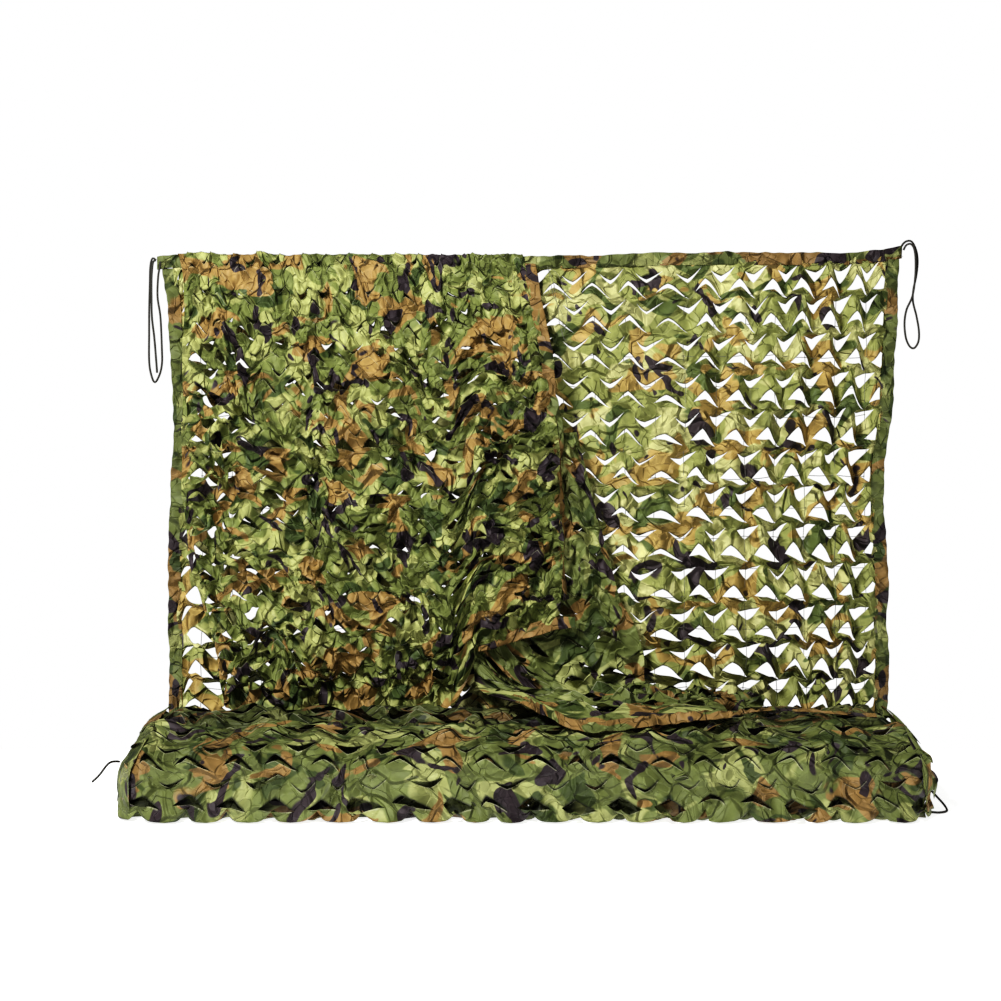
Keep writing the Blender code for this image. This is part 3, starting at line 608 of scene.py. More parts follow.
# %% [markdown]
# ## The hung panel
# On the right the panel hangs clear against the light. Its slits are nearly shut at the upper left and
# gape most low down and at the right, where the cloth is pushed together sideways: there the columns
# stand closer and the wave is steeper. Two tables hold the columns and the rows as measured.
#
# Behind the folded layer most of the slits are shut. They gape in a strip at the far left, which the
# layer leaves free, and a patch here and there lets the light through. The deepest leaves are bent
# softly into a limit, or a few would reach far out at the back.

# %% Hung panel
TAPE, TAPE_WIDTH, SIDE_WIDTH, FOOT_WIDTH = 2.4 * MM, 26 * MM, 28 * MM, 24 * MM
TOP_EDGE = (  # x, height
    (-776, -3), (-743, 2), (-400, 0), (63, 0), (275, 6), (434, 8), (646, 6), (755, 16), (776, 21),
)
LEFT_EDGE = (  # drop, x of the binding's inner edge
    (0, -742), (90, -728), (351, -714), (551, -723), (634, -726), (899, -724), (1060, -724),
)
RIGHT_EDGE = (  # the same at the right
    (-21, 742), (138, 738), (351, 725), (436, 711), (536, 711),
    (669, 720), (765, 718), (840, 720), (1060, 716),
)
PANEL_BOTTOM = 1045  # drop of its lower edge, behind the roll
TUCK = 6  # how far the cloth runs into its bindings
COLUMN_X = (20, 98, 175, 248, 334, 402, 471, 536, 594, 650, 700, 760)  # troughs of the smiles
ROW_DROP = (61, 124, 199, 278, 357, 438, 517, 596, 678, 765, 842, 917, 996)  # lines of smiles
PANEL_FOLDS = (  # length, lean, phase and depth
    (920, 0.05, 0.40, 3.5), (410, 0.15, 0.05, 3.0), (230, -0.25, 0.30, 1.6),
)
LEFT_COLUMNS = 10  # between the left tape and the first measured column
PANEL_COLUMNS, PANEL_ROWS = 207, 105  # mesh steps
COVERED = 60 * MM  # left of this x the folded layer hangs in front
SEEN_LEFT = ((0, -620), (480, -600), (700, -560), (900, -520))  # drop, and x left of which it gapes
CLEAR_GAPE, CLEAR_MORE = 0.26, 0.62  # at the upper left of the clear part, and added lower right
HIDDEN_GAPE, STRIP_MORE, PATCH_MORE = 0.40, 0.72, 0.75  # behind the layer, and added where it shows
BACK_LIMIT, BACK_GIVE = 16 * MM, 12 * MM  # leaves behind the limit are pressed into what it gives

# %% How the hung panel hangs and gapes


def hang(x, z):
    """How far back the hung panel lies."""
    calm = (0.25 + 0.75 * ease(-z / 0.18)) * (1 - ease((-z - 0.72) / 0.15))
    folds = (
        depth * MM * np.sin(2 * math.pi * ((x + lean * z) / (length * MM) + phase))
        for length, lean, phase, depth in PANEL_FOLDS
    )
    return calm * sum(folds)


def gape_share(x, z):
    """How wide the panel's slits stand open at a place."""
    to_right, to_foot = (x / MM - 120) / 900, (-z / MM - 60) / 800
    clear = CLEAR_GAPE + CLEAR_MORE * ease(1.25 * to_right + 0.50 * to_foot)
    clear = clear * (1 - 0.14 * ease((-z - 0.45) / 0.25))
    strip = ease((read_table(SEEN_LEFT, -z) - x) / 0.04)
    hidden = HIDDEN_GAPE + STRIP_MORE * strip + PATCH_MORE * ease(relief(x, z, 0.13, 16))
    shut = ease((x + 0.16) / 0.03) * ease((-z - 0.70) / 0.03)  # the fall's leaves lie here
    return np.where(x < COVERED, hidden * (1 - shut), clear)


# %% Place the hung panel


def hung_points(cut):
    """The panel's points: its columns and rows as measured, its slits open, its leaves curled."""
    first = read_table(LEFT_EDGE, 0.3) / MM
    troughs = [first + (COLUMN_X[0] - first) * c / LEFT_COLUMNS for c in range(LEFT_COLUMNS)]
    troughs += COLUMN_X
    steps = np.arange(len(troughs)) * ACROSS
    x = np.interp(cut.i, steps, troughs) * MM
    share = (x - x.min()) / (x.max() - x.min())
    room = np.interp(cut.i, steps[:-1] + ACROSS / 2, np.diff(troughs)) * MM  # from trough to trough
    slope = math.hypot(LEAF / 2, WAVE * LEAF)
    steeper = np.sqrt(slope**2 - (room / 2) ** 2) / (WAVE * LEAF)  # no cloth is lost
    lines = [TAPE_WIDTH / MM - TUCK, *ROW_DROP, PANEL_BOTTOM]
    at = [0, *range(4, 4 + DOWN * len(ROW_DROP), DOWN), cut.rows]
    z = -np.interp(cut.j, at, lines) * MM + cut.wave() * steeper
    z += read_table(TOP_EDGE, x) * np.clip(1 + z / 0.2, 0, 1)
    left, right = read_table(LEFT_EDGE, -z) - TUCK * MM, read_table(RIGHT_EDGE, -z) + TUCK * MM
    x = left * (1 - share) + right * share
    rise, curl, lean = cut.gape(0.28, 11, 1.25)
    gape = gape_share(x, z)
    x = x + 3.0 * MM * relief(x, z, 70 * MM, 14) * gape
    z = z + 3.0 * MM * relief(x, z, 60 * MM, 15) * gape
    z += rise * gape * steeper
    forward = gape * (0.8 + 1.3 * gape) * (1.25 * curl + 0.75 * lean)
    facets = 6.5 * MM * cut.zigzag() * relief(x, z, 0.20, 17)
    dents = 2.2 * MM * relief(x, z, 60 * MM, 12) + 1.3 * MM * relief(x, z, 26 * MM, 13)
    inside = ease((x - left) / 0.03) * ease((right - x) / 0.03) * ease((-z - 0.02) / 0.04)
    y = hang(x, z) + inside * ((facets + dents) * (0.4 + gape) - forward)
    y = np.where(x < COVERED, np.clip(y, -0.010, 0.02), y)
    pressed = BACK_LIMIT + BACK_GIVE * np.tanh((y - BACK_LIMIT) / BACK_GIVE)
    return np.stack([x, np.where(y > BACK_LIMIT, pressed, y), z], axis=1)


panel_cut = Cut(PANEL_COLUMNS, PANEL_ROWS, 4)
# the panel's inks hold painted light: paler and yellower where light comes through
panel_cloth = cloth_material(
    "panel_cloth", (0.2, 0.3), CLEAR_INKS, light_share=0.485, brown_level=0.567, crumpled=1.5
)
panel = sheet_piece("panel_cloth_net", panel_cut, hung_points(panel_cut), panel_cloth)

# %% [markdown]
# ## The folded layer
# A second length lies over the top edge and hangs down in front of the left part. It is slack and
# bunched, so its leaves stand closer and it gets more cloth each way than it has room for. Settling
# turns that into curled leaves with dark gaps between them. Near the top it still lies fairly flat,
# and leaves lift off the fold in a few tufts. Four tables give its outline: both sides, the foot, and
# the strip at the left where its slits gape with those of the panel behind.

# %% Folded layer
FOLD_RADIUS = 5 * MM
TOP_BUMPS = ((-684, 26, 9), (-557, 12, 15), (-440, 30, 3), (-250, 60, 3))  # x, width, height of leaves
FRONT_LEFT = (  # drop, x
    (-8, -733), (40, -722), (120, -714), (480, -712), (600, -700), (700, -672), (800, -640), (900, -625),
)
FRONT_SIDE = (  # drop, x of the side binding's inner edge
    (-8, -22), (61, -6), (129, 5), (205, 22), (287, 28),
    (380, 45), (440, 55), (501, 61), (644, 60), (706, 70), (900, 60),
)
FRONT_FOOT = (  # x, drop
    (-713, 926), (-400, 930), (-160, 926), (-107, 800), (-31, 770), (61, 740), (112, 742),
)
FRONT_FOLDS = (  # length, degrees, phase and depth
    (230, 74, 0.10, 6.5), (165, 14, 0.45, 5.0), (128, 121, 0.80, 4.0),
)
FRONT_REACH, FRONT_SWELL = 62 * MM, 260 * MM  # how far it stands off, and the drop it takes for that
TAIL = 70 * MM  # how far it hangs down behind the panel
TAIL_BACK = 2.7 * MM
ARC = FOLD_RADIUS * math.pi / 2
FRONT_PITCH = 66 * MM  # the die's pitch as bunched here
FRONT_COLUMNS, FRONT_ROWS = 148, 144  # mesh steps
STRIP_OPEN = 3.2  # how much wider the slits stand in the strip at the left

# %% Where the folded layer lies


def on_front(x, v):
    """A place on the folded layer. v runs down in front; below 0 it is behind the panel."""
    top = read_table(TOP_EDGE, x)
    drop = v - ARC
    swell = ease(drop / FRONT_SWELL)
    folds = 0
    for length, degrees, phase, depth in FRONT_FOLDS:
        along = x * math.cos(math.radians(degrees)) + v * math.sin(math.radians(degrees))
        folds = folds + depth * MM * ridge(along / (length * MM) + phase)
    folds = folds * ease((drop - 0.015) / 0.15)
    y_front = hang(x, top) * (1 - swell) - FOLD_RADIUS - (FRONT_REACH - FOLD_RADIUS) * swell + folds
    turn = np.clip(v / FOLD_RADIUS, -math.pi / 2, math.pi / 2)
    y_fold = hang(x, top) - FOLD_RADIUS * np.sin(turn)
    tail = -v - ARC
    y_tail = hang(x, top) + TAIL_BACK + (FOLD_RADIUS - TAIL_BACK) * (1 - ease(tail / 0.03)) + 0.004
    y = np.where(v > ARC, y_front, np.where(v < -ARC, y_tail, y_fold))
    bump = sum(high * MM * np.exp(-(((x / MM - at) / wide) ** 2)) for at, wide, high in TOP_BUMPS)
    bump = bump + 1.8 * MM * relief(x, 0.0, 0.05, 26)
    z_fold = top + FOLD_RADIUS * np.cos(turn) + bump * np.cos(turn)
    z = np.where(v > ARC, top - drop, np.where(v < -ARC, top - tail, z_fold))
    return np.stack([x, y, z], axis=1)


def front_points(cut):
    """The folded layer's points before it settles, and how far along the fold each lies."""
    flat = cut.flat()
    across, down = cut.i / cut.columns, -flat[:, 1] / cut.size()[1]
    down = np.clip(down, 0, 1) ** 0.92  # it is bunched most at its foot
    drop = down * 0.98 - 0.078  # about where each row comes to hang
    left, right = (read_table(side, drop) for side in (FRONT_LEFT, FRONT_SIDE))
    x = left * (1 - across) + right * across
    foot = read_table(FRONT_FOOT, x)
    v = -(TAIL + ARC) + down * (foot + TAIL + 2 * ARC)
    loose = 0.50 * ease(v / 0.03) + 0.50 * ease((v - 0.05) / 0.20)
    inside = ease(across / 0.12) * ease((1 - across) / 0.12) * ease((1 - down) / 0.1)
    x = x + loose * inside * 0.010 * relief(*flat.T, 0.22, 21)
    v = v + loose * inside * 0.012 * relief(*flat.T, 0.20, 22)
    rise, curl, lean = cut.gape(0.75, 23)
    strip = ease((read_table(SEEN_LEFT, v) + 0.02 - x) / 0.04) * ease((v - 0.20) / 0.1)
    v = v - 0.40 * rise * loose * (1 + STRIP_OPEN * strip)
    points = on_front(x, v)
    dents = 5 * MM * relief(*flat.T, 0.08, 24)
    facets = 6 * MM * cut.diamonds() * (1 + 0.6 * relief(*flat.T, 0.20, 25))
    forward = 0.9 * np.abs(curl) + 0.3 * lean
    points[:, 1] += (dents + facets - forward) * loose
    return points, v


def front_room(v):
    """What keeps the folded layer in front of the panel, and its tail close behind it."""
    behind = v < -0.008

    def room(points):
        """Press points that went too far back or forward into the room that the layer has."""
        nearest = -5 * MM - 20 * MM * ease(-points[:, 2] / 0.2)
        y = np.where(behind, np.clip(points[:, 1], 0.002, 0.016), np.minimum(points[:, 1], nearest))
        points[:, 1] = np.maximum(y, -0.105)
    return room


# %% Settle the folded layer
front_cut = Cut(FRONT_COLUMNS, FRONT_ROWS, 4, FRONT_PITCH)
start, v = front_points(front_cut)
held = np.union1d(rim(front_cut, foot=False), np.flatnonzero(np.abs(v) < 0.012))
tied = np.union1d(lacing(front_cut, 0.7), held)
front_settled = settle(front_cut, start, tied, 70, bend=0.12, room=front_room(v))
front_cloth = cloth_material(
    "front_cloth", (4.1, 2.3), INKS, light_share=0.47, brown_level=0.57, crumpled=1.7
)
front = sheet_piece("folded_layer", front_cut, front_settled, front_cloth)

# %% [markdown]
# ## The roll
# The rest of the net is rolled up loosely and has flattened under its own weight. We see its outer
# turn, whose slits stand a little open and dark, and through them the turn below, which lies deeper
# and more crumpled. Along the floor the outer turn ends in a wavy edge, as the die cut it, and each of
# its scallops lies forward on the floor. The turn below spreads out there too, so that the floor
# doesn't shine through between them. At the back the last of the net is heaped up against the hung
# length. All of it is wrapped round one rule, `on_roll`: a rounded box with soft ends and twists.

# %% The roll's form
ROLL_LEFT, ROLL_RIGHT = -787 * MM, 753 * MM
ROLL_BACK, ROLL_FRONT = -1.35 * MM, -400 * MM
ROLL_OVER = 50 * MM  # how far its sheets reach past its ends before they are drawn in
PANEL_GAP, FLOOR_GAP = 1.8 * MM, 1.2 * MM  # its sheets stay this far off
ROLL_ROOM = (-408 * MM, -1.5 * MM, 1.5 * MM, 168 * MM)  # front, back, and height over the floor
ROLL_MIDDLE, ROLL_HALF_HEIGHT = 78 * MM, 82 * MM
ROLL_SQUARE, FOOT_SQUARE = 2.6, 4.0  # 2 is round; the roll is squarer where it lies on the floor
ROLL_END, ROLL_CAP = 62 * MM, 0.52  # length of its rounded ends, and their height as a share
LEFT_SLANT, RIGHT_SLANT = 26 * MM, 20 * MM  # the roll is this much shorter at the top
ROLL_TWISTS = (  # length, turns, phase and depth
    (530, 1, 0.15, 6.0), (310, -1, 0.60, 5.0), (205, 2, 0.35, 4.0), (148, -3, 0.85, 3.5),
)


def roll_ends(angle):
    """The roll's left and right end. angle runs from the back over the top."""
    slant = ease((np.sin(angle) + 0.1) / 1.1)
    return ROLL_LEFT + LEFT_SLANT * slant, ROLL_RIGHT - RIGHT_SLANT * slant


def on_roll(x, angle, out):
    """A place on the roll, out metres outside it."""
    left, right = roll_ends(angle)
    past = np.maximum(np.maximum(left - x, x - right), 0)
    inward = np.clip(np.minimum(x - left, right - x) / ROLL_END, 0, 1)
    shrink = ROLL_CAP + (1 - ROLL_CAP) * np.sqrt(1 - (1 - inward) ** 2) - past / 0.2
    x = np.clip(x, left, right) + 0.15 * past * np.sign(-x)
    across, up = np.cos(angle), np.sin(angle)
    on_floor = out * (1 - 0.9 * ease((-0.45 - up) / 0.3))
    out = np.where(out < -0.008, on_floor, out)  # inner turns rest on the floor too
    power = 2 / np.where(up > 0, ROLL_SQUARE, FOOT_SQUARE)
    round_across = np.copysign(np.abs(across) ** power, across)
    round_up = np.copysign(np.abs(up) ** power, up)
    press = 0
    for length, turns, phase, depth in ROLL_TWISTS:
        wave = np.sin(2 * math.pi * (x / (length * MM) + phase) + turns * angle)
        press = press + depth * MM * (1 + wave) / 2
    press = press * (1 - ease((across - 0.75) / 0.2)) * (1 - ease((-0.35 - up) / 0.3)) - out
    middle, half = (ROLL_BACK + ROLL_FRONT) / 2, (ROLL_BACK - ROLL_FRONT) / 2
    y = middle + (half * shrink - press) * round_across
    tall = ROLL_HALF_HEIGHT * np.where(up > 0, shrink, 0.25 + 0.75 * shrink)
    height = np.maximum(FLOOR_GAP, ROLL_MIDDLE + (tall - press) * round_up)
    return np.stack([x, np.minimum(y, -PANEL_GAP), height + FLOOR], axis=1)


# %% Wrap a sheet round the roll


def roll_points(cut, angles, out, slack, seed, gape=0.30, foot=0.0, flare=0.0):
    """Wrap a sheet round the roll between two angles in degrees, out metres outside it.

    Its slits gape, and by foot more along the last edge. flare is how far that edge's scallops
    spread out on the floor."""
    flat = cut.flat()
    fine = np.radians(np.linspace(*angles, 200))
    along = run_lengths(on_roll(np.zeros(200), fine, 0.0))
    rise, curl, lean = cut.gape(0.5, seed)
    gape = gape + foot * ease((cut.j - cut.rows + 10) / 4)
    v = cut.down() * along[-1] - gape * rise
    angle = np.interp(v, along, fine)
    length = ROLL_RIGHT - ROLL_LEFT + 2 * ROLL_OVER
    x = (cut.i / cut.columns - 0.5) * length + (ROLL_LEFT + ROLL_RIGHT) / 2
    x = x + 0.011 * relief(*flat.T, 0.15, seed + 1)
    creased = 3 * ridge(relief(*flat.T, 0.4, seed + 4))
    dents = slack * MM * (7 * relief(*flat.T, 0.12, seed + 2) + creased)
    facets = slack * 8 * MM * cut.diamonds() * (1 + 0.5 * relief(*flat.T, 0.25, seed + 3))
    forward = gape * (0.9 * np.abs(curl) + 0.5 * lean)
    loose = 1 - 0.7 * ease((cut.j - cut.rows + 5) / 3) * (flare > 0)
    scallop = (0.5 - 0.5 * cut.zigzag()) * ease((cut.j - cut.rows + 5) / 5)
    forward = forward * loose + flare * scallop
    return on_roll(x, angle, out + (dents + facets) * loose + forward)


def roll_room(points):
    """Keeps the roll on the floor, in front of the panel and within its height."""
    front, back, low, high = ROLL_ROOM
    points[:, 1] = np.clip(points[:, 1], front, back)
    points[:, 2] = np.clip(points[:, 2], FLOOR + low, FLOOR + high)


def heap_points(cut, ends, seed):
    """Crumpled leaves behind the roll's top, beside the foot of the fall."""
    flat = cut.flat()
    across, down = cut.i / cut.columns, cut.j / cut.rows
    x = (ends[0] * (1 - across) + ends[1] * across) * MM
    turn = np.radians(-50 + 220 * down)
    low = ease((across - 0.35) / 0.65)
    radius = (27 - 13 * low) * MM + 9 * MM * relief(*flat.T, 0.06, seed)
    radius = radius + 7 * MM * cut.lip * relief(*flat.T, 0.05, seed + 1)
    y = -0.085 + 2.0 * radius * np.cos(turn)
    return np.stack([x, y, FLOOR + 0.146 + radius * np.sin(turn)], axis=1)


def heap_room(points):
    """Keeps the heap on the roll, behind the fall's foot."""
    points[:, 1] = np.clip(points[:, 1], -0.17, -0.012)
    points[:, 2] = np.clip(points[:, 2], FLOOR + 0.10, FLOOR + 0.192)


# %% The roll's turns
# the roll's inks are darker: painted shade
roll_cloth = cloth_material(
    "roll_cloth", (8.3, 6.2), ROLL_INKS, light_share=0.43, brown_level=0.585, crumpled=1.5
)
# Painted shade: the turns inside the roll get the roll's inks dimmed to 0.55, a darker copy of the same
# cloth.
shade_inks = dimmed(ROLL_INKS, 0.55)
painted_shade_cloth = cloth_material(
    "roll_under_cloth", (3.3, 7.2), shade_inks, light_share=0.43, brown_level=0.585, crumpled=1.5
)
inner_cut = Cut(100, 36, 4, 2 * LEAF)
inner_points = roll_points(inner_cut, (-60, 300), -34 * MM, 0.0, 27)
inner_turn = sheet_piece("roll_inner_turn", inner_cut, inner_points, painted_shade_cloth)
under_cut = Cut(200, 64, 4)
start = roll_points(under_cut, (-30, 233), -13 * MM, 1.0, 31, flare=50 * MM)
settled = settle(under_cut, start, lacing(under_cut, 0.9), 60, hold=0.4, room=roll_room)
under_turn = sheet_piece("roll_under_turn", under_cut, settled, painted_shade_cloth)

outer_cut = Cut(206, 28, 4, ragged=True)
outer_points = roll_points(
    outer_cut, (104, 231), 2 * MM, 0.75, 41, gape=0.34, foot=0.30, flare=42 * MM
)
roll_room(outer_points)
outer_points[:, 2] = np.maximum(outer_points[:, 2], FLOOR + 4 * MM)  # it lies on the turn below
outer_turn = sheet_piece("roll_outer_turn", outer_cut, outer_points, roll_cloth)

# %% The heap beside the fall
HEAP_ENDS = (190, 470)  # x of its left and right end
END_PITCH = 56 * MM  # the die's pitch where the leaves are bunched most

heap_cut = Cut(60, 24, 4, END_PITCH)
start = heap_points(heap_cut, HEAP_ENDS, 61)
settled = settle(heap_cut, start, lacing(heap_cut), 60, bend=0.1, room=heap_room)
heap = sheet_piece("heap_beside_fall", heap_cut, settled, roll_cloth)

# %% [markdown]
# ## The roll's ends
# At the right end the edge leaves of the outer turn stick out past the roll. They are a narrow sheet of
# their own, which begins a little inside the end and follows its slant. At the left end the cloth has
# its edge binding, which winds round with it and is made with the other bindings below.

# %% Roll ends
END_RING = 27 * MM  # how far inside the right end the leaves begin
END_REACH = 28 * MM  # how far they reach, at most


def end_leaf_points(cut):
    """The edge leaves at the right end: they wind from the top to the floor and reach outwards."""
    flat = cut.flat()
    rise, curl, _ = cut.gape(0.4, 71)
    down = (flat[:, 1].max() - flat[:, 1] + rise) / (flat[:, 1].max() - flat[:, 1].min())
    angle = np.radians(60 + 165 * down)
    share = cut.i / cut.columns
    far = END_REACH * (0.35 + 0.65 * ease((down - 0.1) / 0.3))
    reach = far * share * (1 + 0.30 * ridge(cut.j / DOWN) + 0.25 * relief(flat[:, 1], 0.0, 0.06, 72))
    wavy = 7 * MM * share * relief(*flat.T, 0.05, 73) + 0.5 * np.abs(curl)
    ring = roll_ends(angle)[1] - END_RING
    points = on_roll(ring, angle, 5 * MM - 22 * MM * share**2 + wavy)
    points[:, 0] += reach
    return points


leaf_cut = Cut(13, 34, 4, END_PITCH)
end_leaves = sheet_piece("leaves_at_roll_end", leaf_cut, end_leaf_points(leaf_cut), roll_cloth)

# %% [markdown]
# ## The fall
# Behind the edge of the folded layer the net hangs in a gathered column, its slits closed to dark
# lines by its own folds, then flows forward over the roll. Its way is one line seen from the side, and
# every point lies somewhere along that line and a little outside it. It ends in a bound foot, whose
# inner edge stands up off the roll, so that the roll below it lies in shade.

# %% The fall's way
FALL_TOP = 361  # drop at which it begins, out of sight
FOOT_LIFT = ((-64, 11), (350, 11), (420, 2), (700, 2))  # x, and how far the foot's inner edge stands up
FALL_PATH = ((24, 361), (24, 850), (28, 884), (40, 901))  # reach and drop, until it meets the roll
FALL_LEFT = (  # drop or length along its way, x
    (361, -60), (600, -95), (770, -118), (880, -118), (960, -80), (1020, -64), (1300, -64),
)
FALL_RIGHT = (
    (361, 95), (500, 130), (712, 186), (768, 219), (823, 236), (880, 236), (960, 300), (1060, 380),
)
FOOT = (  # x, reach
    (-64, 72), (-22, 140), (16, 226), (62, 288), (112, 316), (164, 308),
    (233, 284), (304, 263), (387, 248), (467, 195), (588, 231), (666, 248),
)


def fall_path():
    """Reach, height and length along the fall's way."""
    route = [(reach * MM, -drop * MM) for reach, drop in FALL_PATH]
    middle, half = -(ROLL_BACK + ROLL_FRONT) / 2, (ROLL_BACK - ROLL_FRONT) / 2
    for reach in np.arange(62, 346, 20) * MM:
        share = min(1.0, abs(reach - middle) / half) ** ROLL_SQUARE
        top = ROLL_MIDDLE + ROLL_HALF_HEIGHT * (1 - share) ** (1 / ROLL_SQUARE)
        route.append((reach, top + FLOOR + 1.9 * MM))
    route = np.array(route)
    return route, run_lengths(route)


ROUTE, ALONG = fall_path()


def along_route(v):
    """Reach, height and outward direction along the fall's way."""
    reach, z = (np.interp(v, ALONG, ROUTE[:, k]) for k in (0, 1))
    step = 5 * MM
    ahead, behind = ([np.interp(v + s, ALONG, ROUTE[:, k]) for k in (0, 1)] for s in (step, -step))
    d_reach, d_z = ahead[0] - behind[0], ahead[1] - behind[1]
    size = np.hypot(d_reach, d_z)
    return reach, z, d_z / size, d_reach / size


def on_fall(x, v, out):
    """A place v metres along the fall's way and out metres outside it."""
    reach, z, out_y, out_z = along_route(v)
    return np.stack([x, -reach + out * out_y, z + out * out_z], axis=1)


def foot_way(x):
    """How far along the fall's way the foot binding lies."""
    return np.interp(read_table(FOOT, x), ROUTE[:, 0], ALONG)


# %% Place and settle the fall


def fall_points(cut):
    """The fall's points before it settles: pleated, and calmer towards its foot."""
    flat = cut.flat()
    across = cut.i / cut.columns
    foot_v = foot_way(np.interp(across, [0, 1], [-64 * MM, 380 * MM]))
    rise, curl, lean = cut.gape(0.6, 50)
    v = cut.down() * foot_v - 0.42 * rise
    left, right = (read_table(side, FALL_TOP * MM + v) for side in (FALL_LEFT, FALL_RIGHT))
    x = left * (1 - across) + right * across
    calm = 1 - ease((v - foot_v + 0.10) / 0.09)
    turns = flat[:, 0] / 0.12 + 0.9 * relief(*flat.T, 0.5, 51)
    pleat = 4 * MM * (1 + np.sin(2 * math.pi * turns))
    rough = 3 * MM * relief(*flat.T, 0.06, 52) + 5 * MM * cut.diamonds()
    rough = rough + 0.8 * np.abs(curl) + 0.4 * lean
    lift = read_table(FOOT_LIFT, x) * (1 - calm)
    return on_fall(x, v, (3 * MM + pleat + rough) * (0.25 + 0.75 * calm) + lift)


def fall_room(points):
    """Keeps the fall in front of the panel."""
    points[:, 1] = np.minimum(points[:, 1], -0.016)


fall_cut = Cut(44, 84, 4)
tied = np.union1d(lacing(fall_cut), rim(fall_cut))
settled = settle(fall_cut, fall_points(fall_cut), tied, 90, room=fall_room)
# Painted light: the fall gets the roll's inks brightened by 1.12, a lighter copy of the same cloth.
lit_fall_inks = dimmed(ROLL_INKS, 1.12)
fall_cloth = cloth_material(
    "fall_cloth", (2.7, 9.1), lit_fall_inks, light_share=0.43, brown_level=0.61, crumpled=1.1
)
fall = sheet_piece("fall", fall_cut, settled, fall_cloth)

# %% [markdown]
# ## Bindings
# The net's edges are bound with a strip of the same printed cloth, folded over the edge and sewn
# through with one row of stitches. The seam draws the strip in, so it puckers. Each binding is a flat
# tube of cloth between two lines: the fold on the outside and the sewn edge on the inside. So one
# function makes them all, and each place only gives its two lines and the way to the reader. Lower
# down, the folded layer's side edge turns back out of sight; its hem stands off and catches the light.

# %% The binding tube
RING = (  # share of the way from the fold to the sewn edge, and how full the tube is there
    (0.0, 0.25), (0.06, 0.8), (0.3, 1.0), (0.6, 0.85), (0.86, 0.55), (0.95, 0.8), (1.0, 0.4),
)
STATION = 3.5 * MM  # length of a mesh step along the binding
STITCH_IN = 0.86  # the seam lies this share of the way from the fold to the sewn edge
PUCKER, SWAY = 1.3 * MM, 1.8 * MM  # depth of the puckers between stitches and of the long swings


def binding(name, fold, sewn, front, place, material):
    """A binding between two lines of points, where front points to the reader.

    Returns the piece, the line of its seam, and its length and width."""
    lengths = run_lengths((fold + sewn) / 2)
    count = int(lengths[-1] / STATION)
    at = np.linspace(0, lengths[-1], count)
    fold, sewn, front = (
        np.stack([np.interp(at, lengths, line[:, k]) for k in range(3)], axis=1)
        for line in (fold, sewn, front)
    )
    front /= np.linalg.norm(front, axis=1)[:, None]
    width = np.linalg.norm(sewn - fold, axis=1)
    wander = 0.045 * relief(at, place, 0.11, 81) + 0.03 * relief(at, place, 0.03, 82)
    fold = fold + (fold - sewn) * wander[:, None]
    ring = [(share, thick) for share, thick in RING] + [(share, -thick) for share, thick in RING[::-1]]
    points, flat = [], []
    for k, (share, thick) in enumerate(ring):
        pucker = PUCKER * relief(at, 0.4 * width * share, 0.019, 83) * (0.4 + share)
        sway = SWAY * relief(at, place, 0.12, 84)
        across = fold + (sewn - fold) * share
        points.append(across + front * (thick * TAPE / 2 + pucker + sway)[:, None])
        flat.append(np.stack([at, width * (share if k < len(RING) else 2 - share)], axis=1))
    points, flat = np.stack(points, axis=1).reshape(-1, 3), np.stack(flat, axis=1).reshape(-1, 2)
    around = len(ring)
    row, col = np.meshgrid(np.arange(count - 1), np.arange(around), indexing="ij")
    near, far = row * around + col, row * around + (col + 1) % around
    faces = np.stack([near, far, far + around, near + around], axis=-1).reshape(-1, 4).tolist()
    faces += [list(range(around))[::-1], list(range((count - 1) * around, count * around))]
    seam = fold + (sewn - fold) * STITCH_IN + front * (0.55 * TAPE / 2 + 0.4 * MM)
    piece = add_piece(name, points, np.array(faces, dtype=object), flat, material)
    size = (float(at[-1]), float(width.mean()))
    print(name, "folded", [round(s, 3) for s in size])
    return piece, seam, size


def line(x, y, z):
    """A line of points from numbers and rows of numbers."""
    return np.stack(np.broadcast_arrays(x, y, z), axis=1).astype(float)


# Painted shade: the bindings get the roll's inks dimmed to 0.85, a darker copy of the same cloth.
tape_cloth = cloth_material(
    "tape_cloth", (5.2, 1.4), dimmed(ROLL_INKS, 0.85), light_share=0.40, brown_level=0.54, crumpled=1.3
)
hem_cloth = cloth_material(
    "hem_cloth", (1.2, 4.4), ROLL_INKS, light_share=0.45, brown_level=0.43, crumpled=1.3
)
bindings = {}

# %% Bindings of the hung panel
x = np.linspace(-776, 776, 120) * MM
top = read_table(TOP_EDGE, x)
low = top - TAPE_WIDTH
fold, sewn = line(x, hang(x, top), top), line(x, hang(x, low), low)
bindings["binding_top"] = binding("top_binding", fold, sewn, line(0 * x, -1, 0), 0.0, tape_cloth)
for side, edge, begin, outward in (("left", LEFT_EDGE, -26, -1), ("right", RIGHT_EDGE, -7, 1)):
    z = np.linspace(begin, -PANEL_BOTTOM, 90) * MM
    inner = read_table(edge, -z)
    outer_x = inner + outward * SIDE_WIDTH
    fold, sewn = line(outer_x, hang(outer_x, z), z), line(inner, hang(inner, z), z)
    to_front, place = line(0 * z, -1, 0), 0.4 + outward * 0.3
    bindings["binding_" + side] = binding(side + "_binding", fold, sewn, to_front, place, tape_cloth)


# %% Bindings of the folded layer and the fall
FRONT_HEM = ((-107, 800), (-83, 794), (-15, 759), (52, 739), (100, 741))  # x, drop of the sewn edge
HEM_WIDTH = ((-107, 10), (-83, 14), (-15, 26), (52, 24), (100, 20))  # x, width

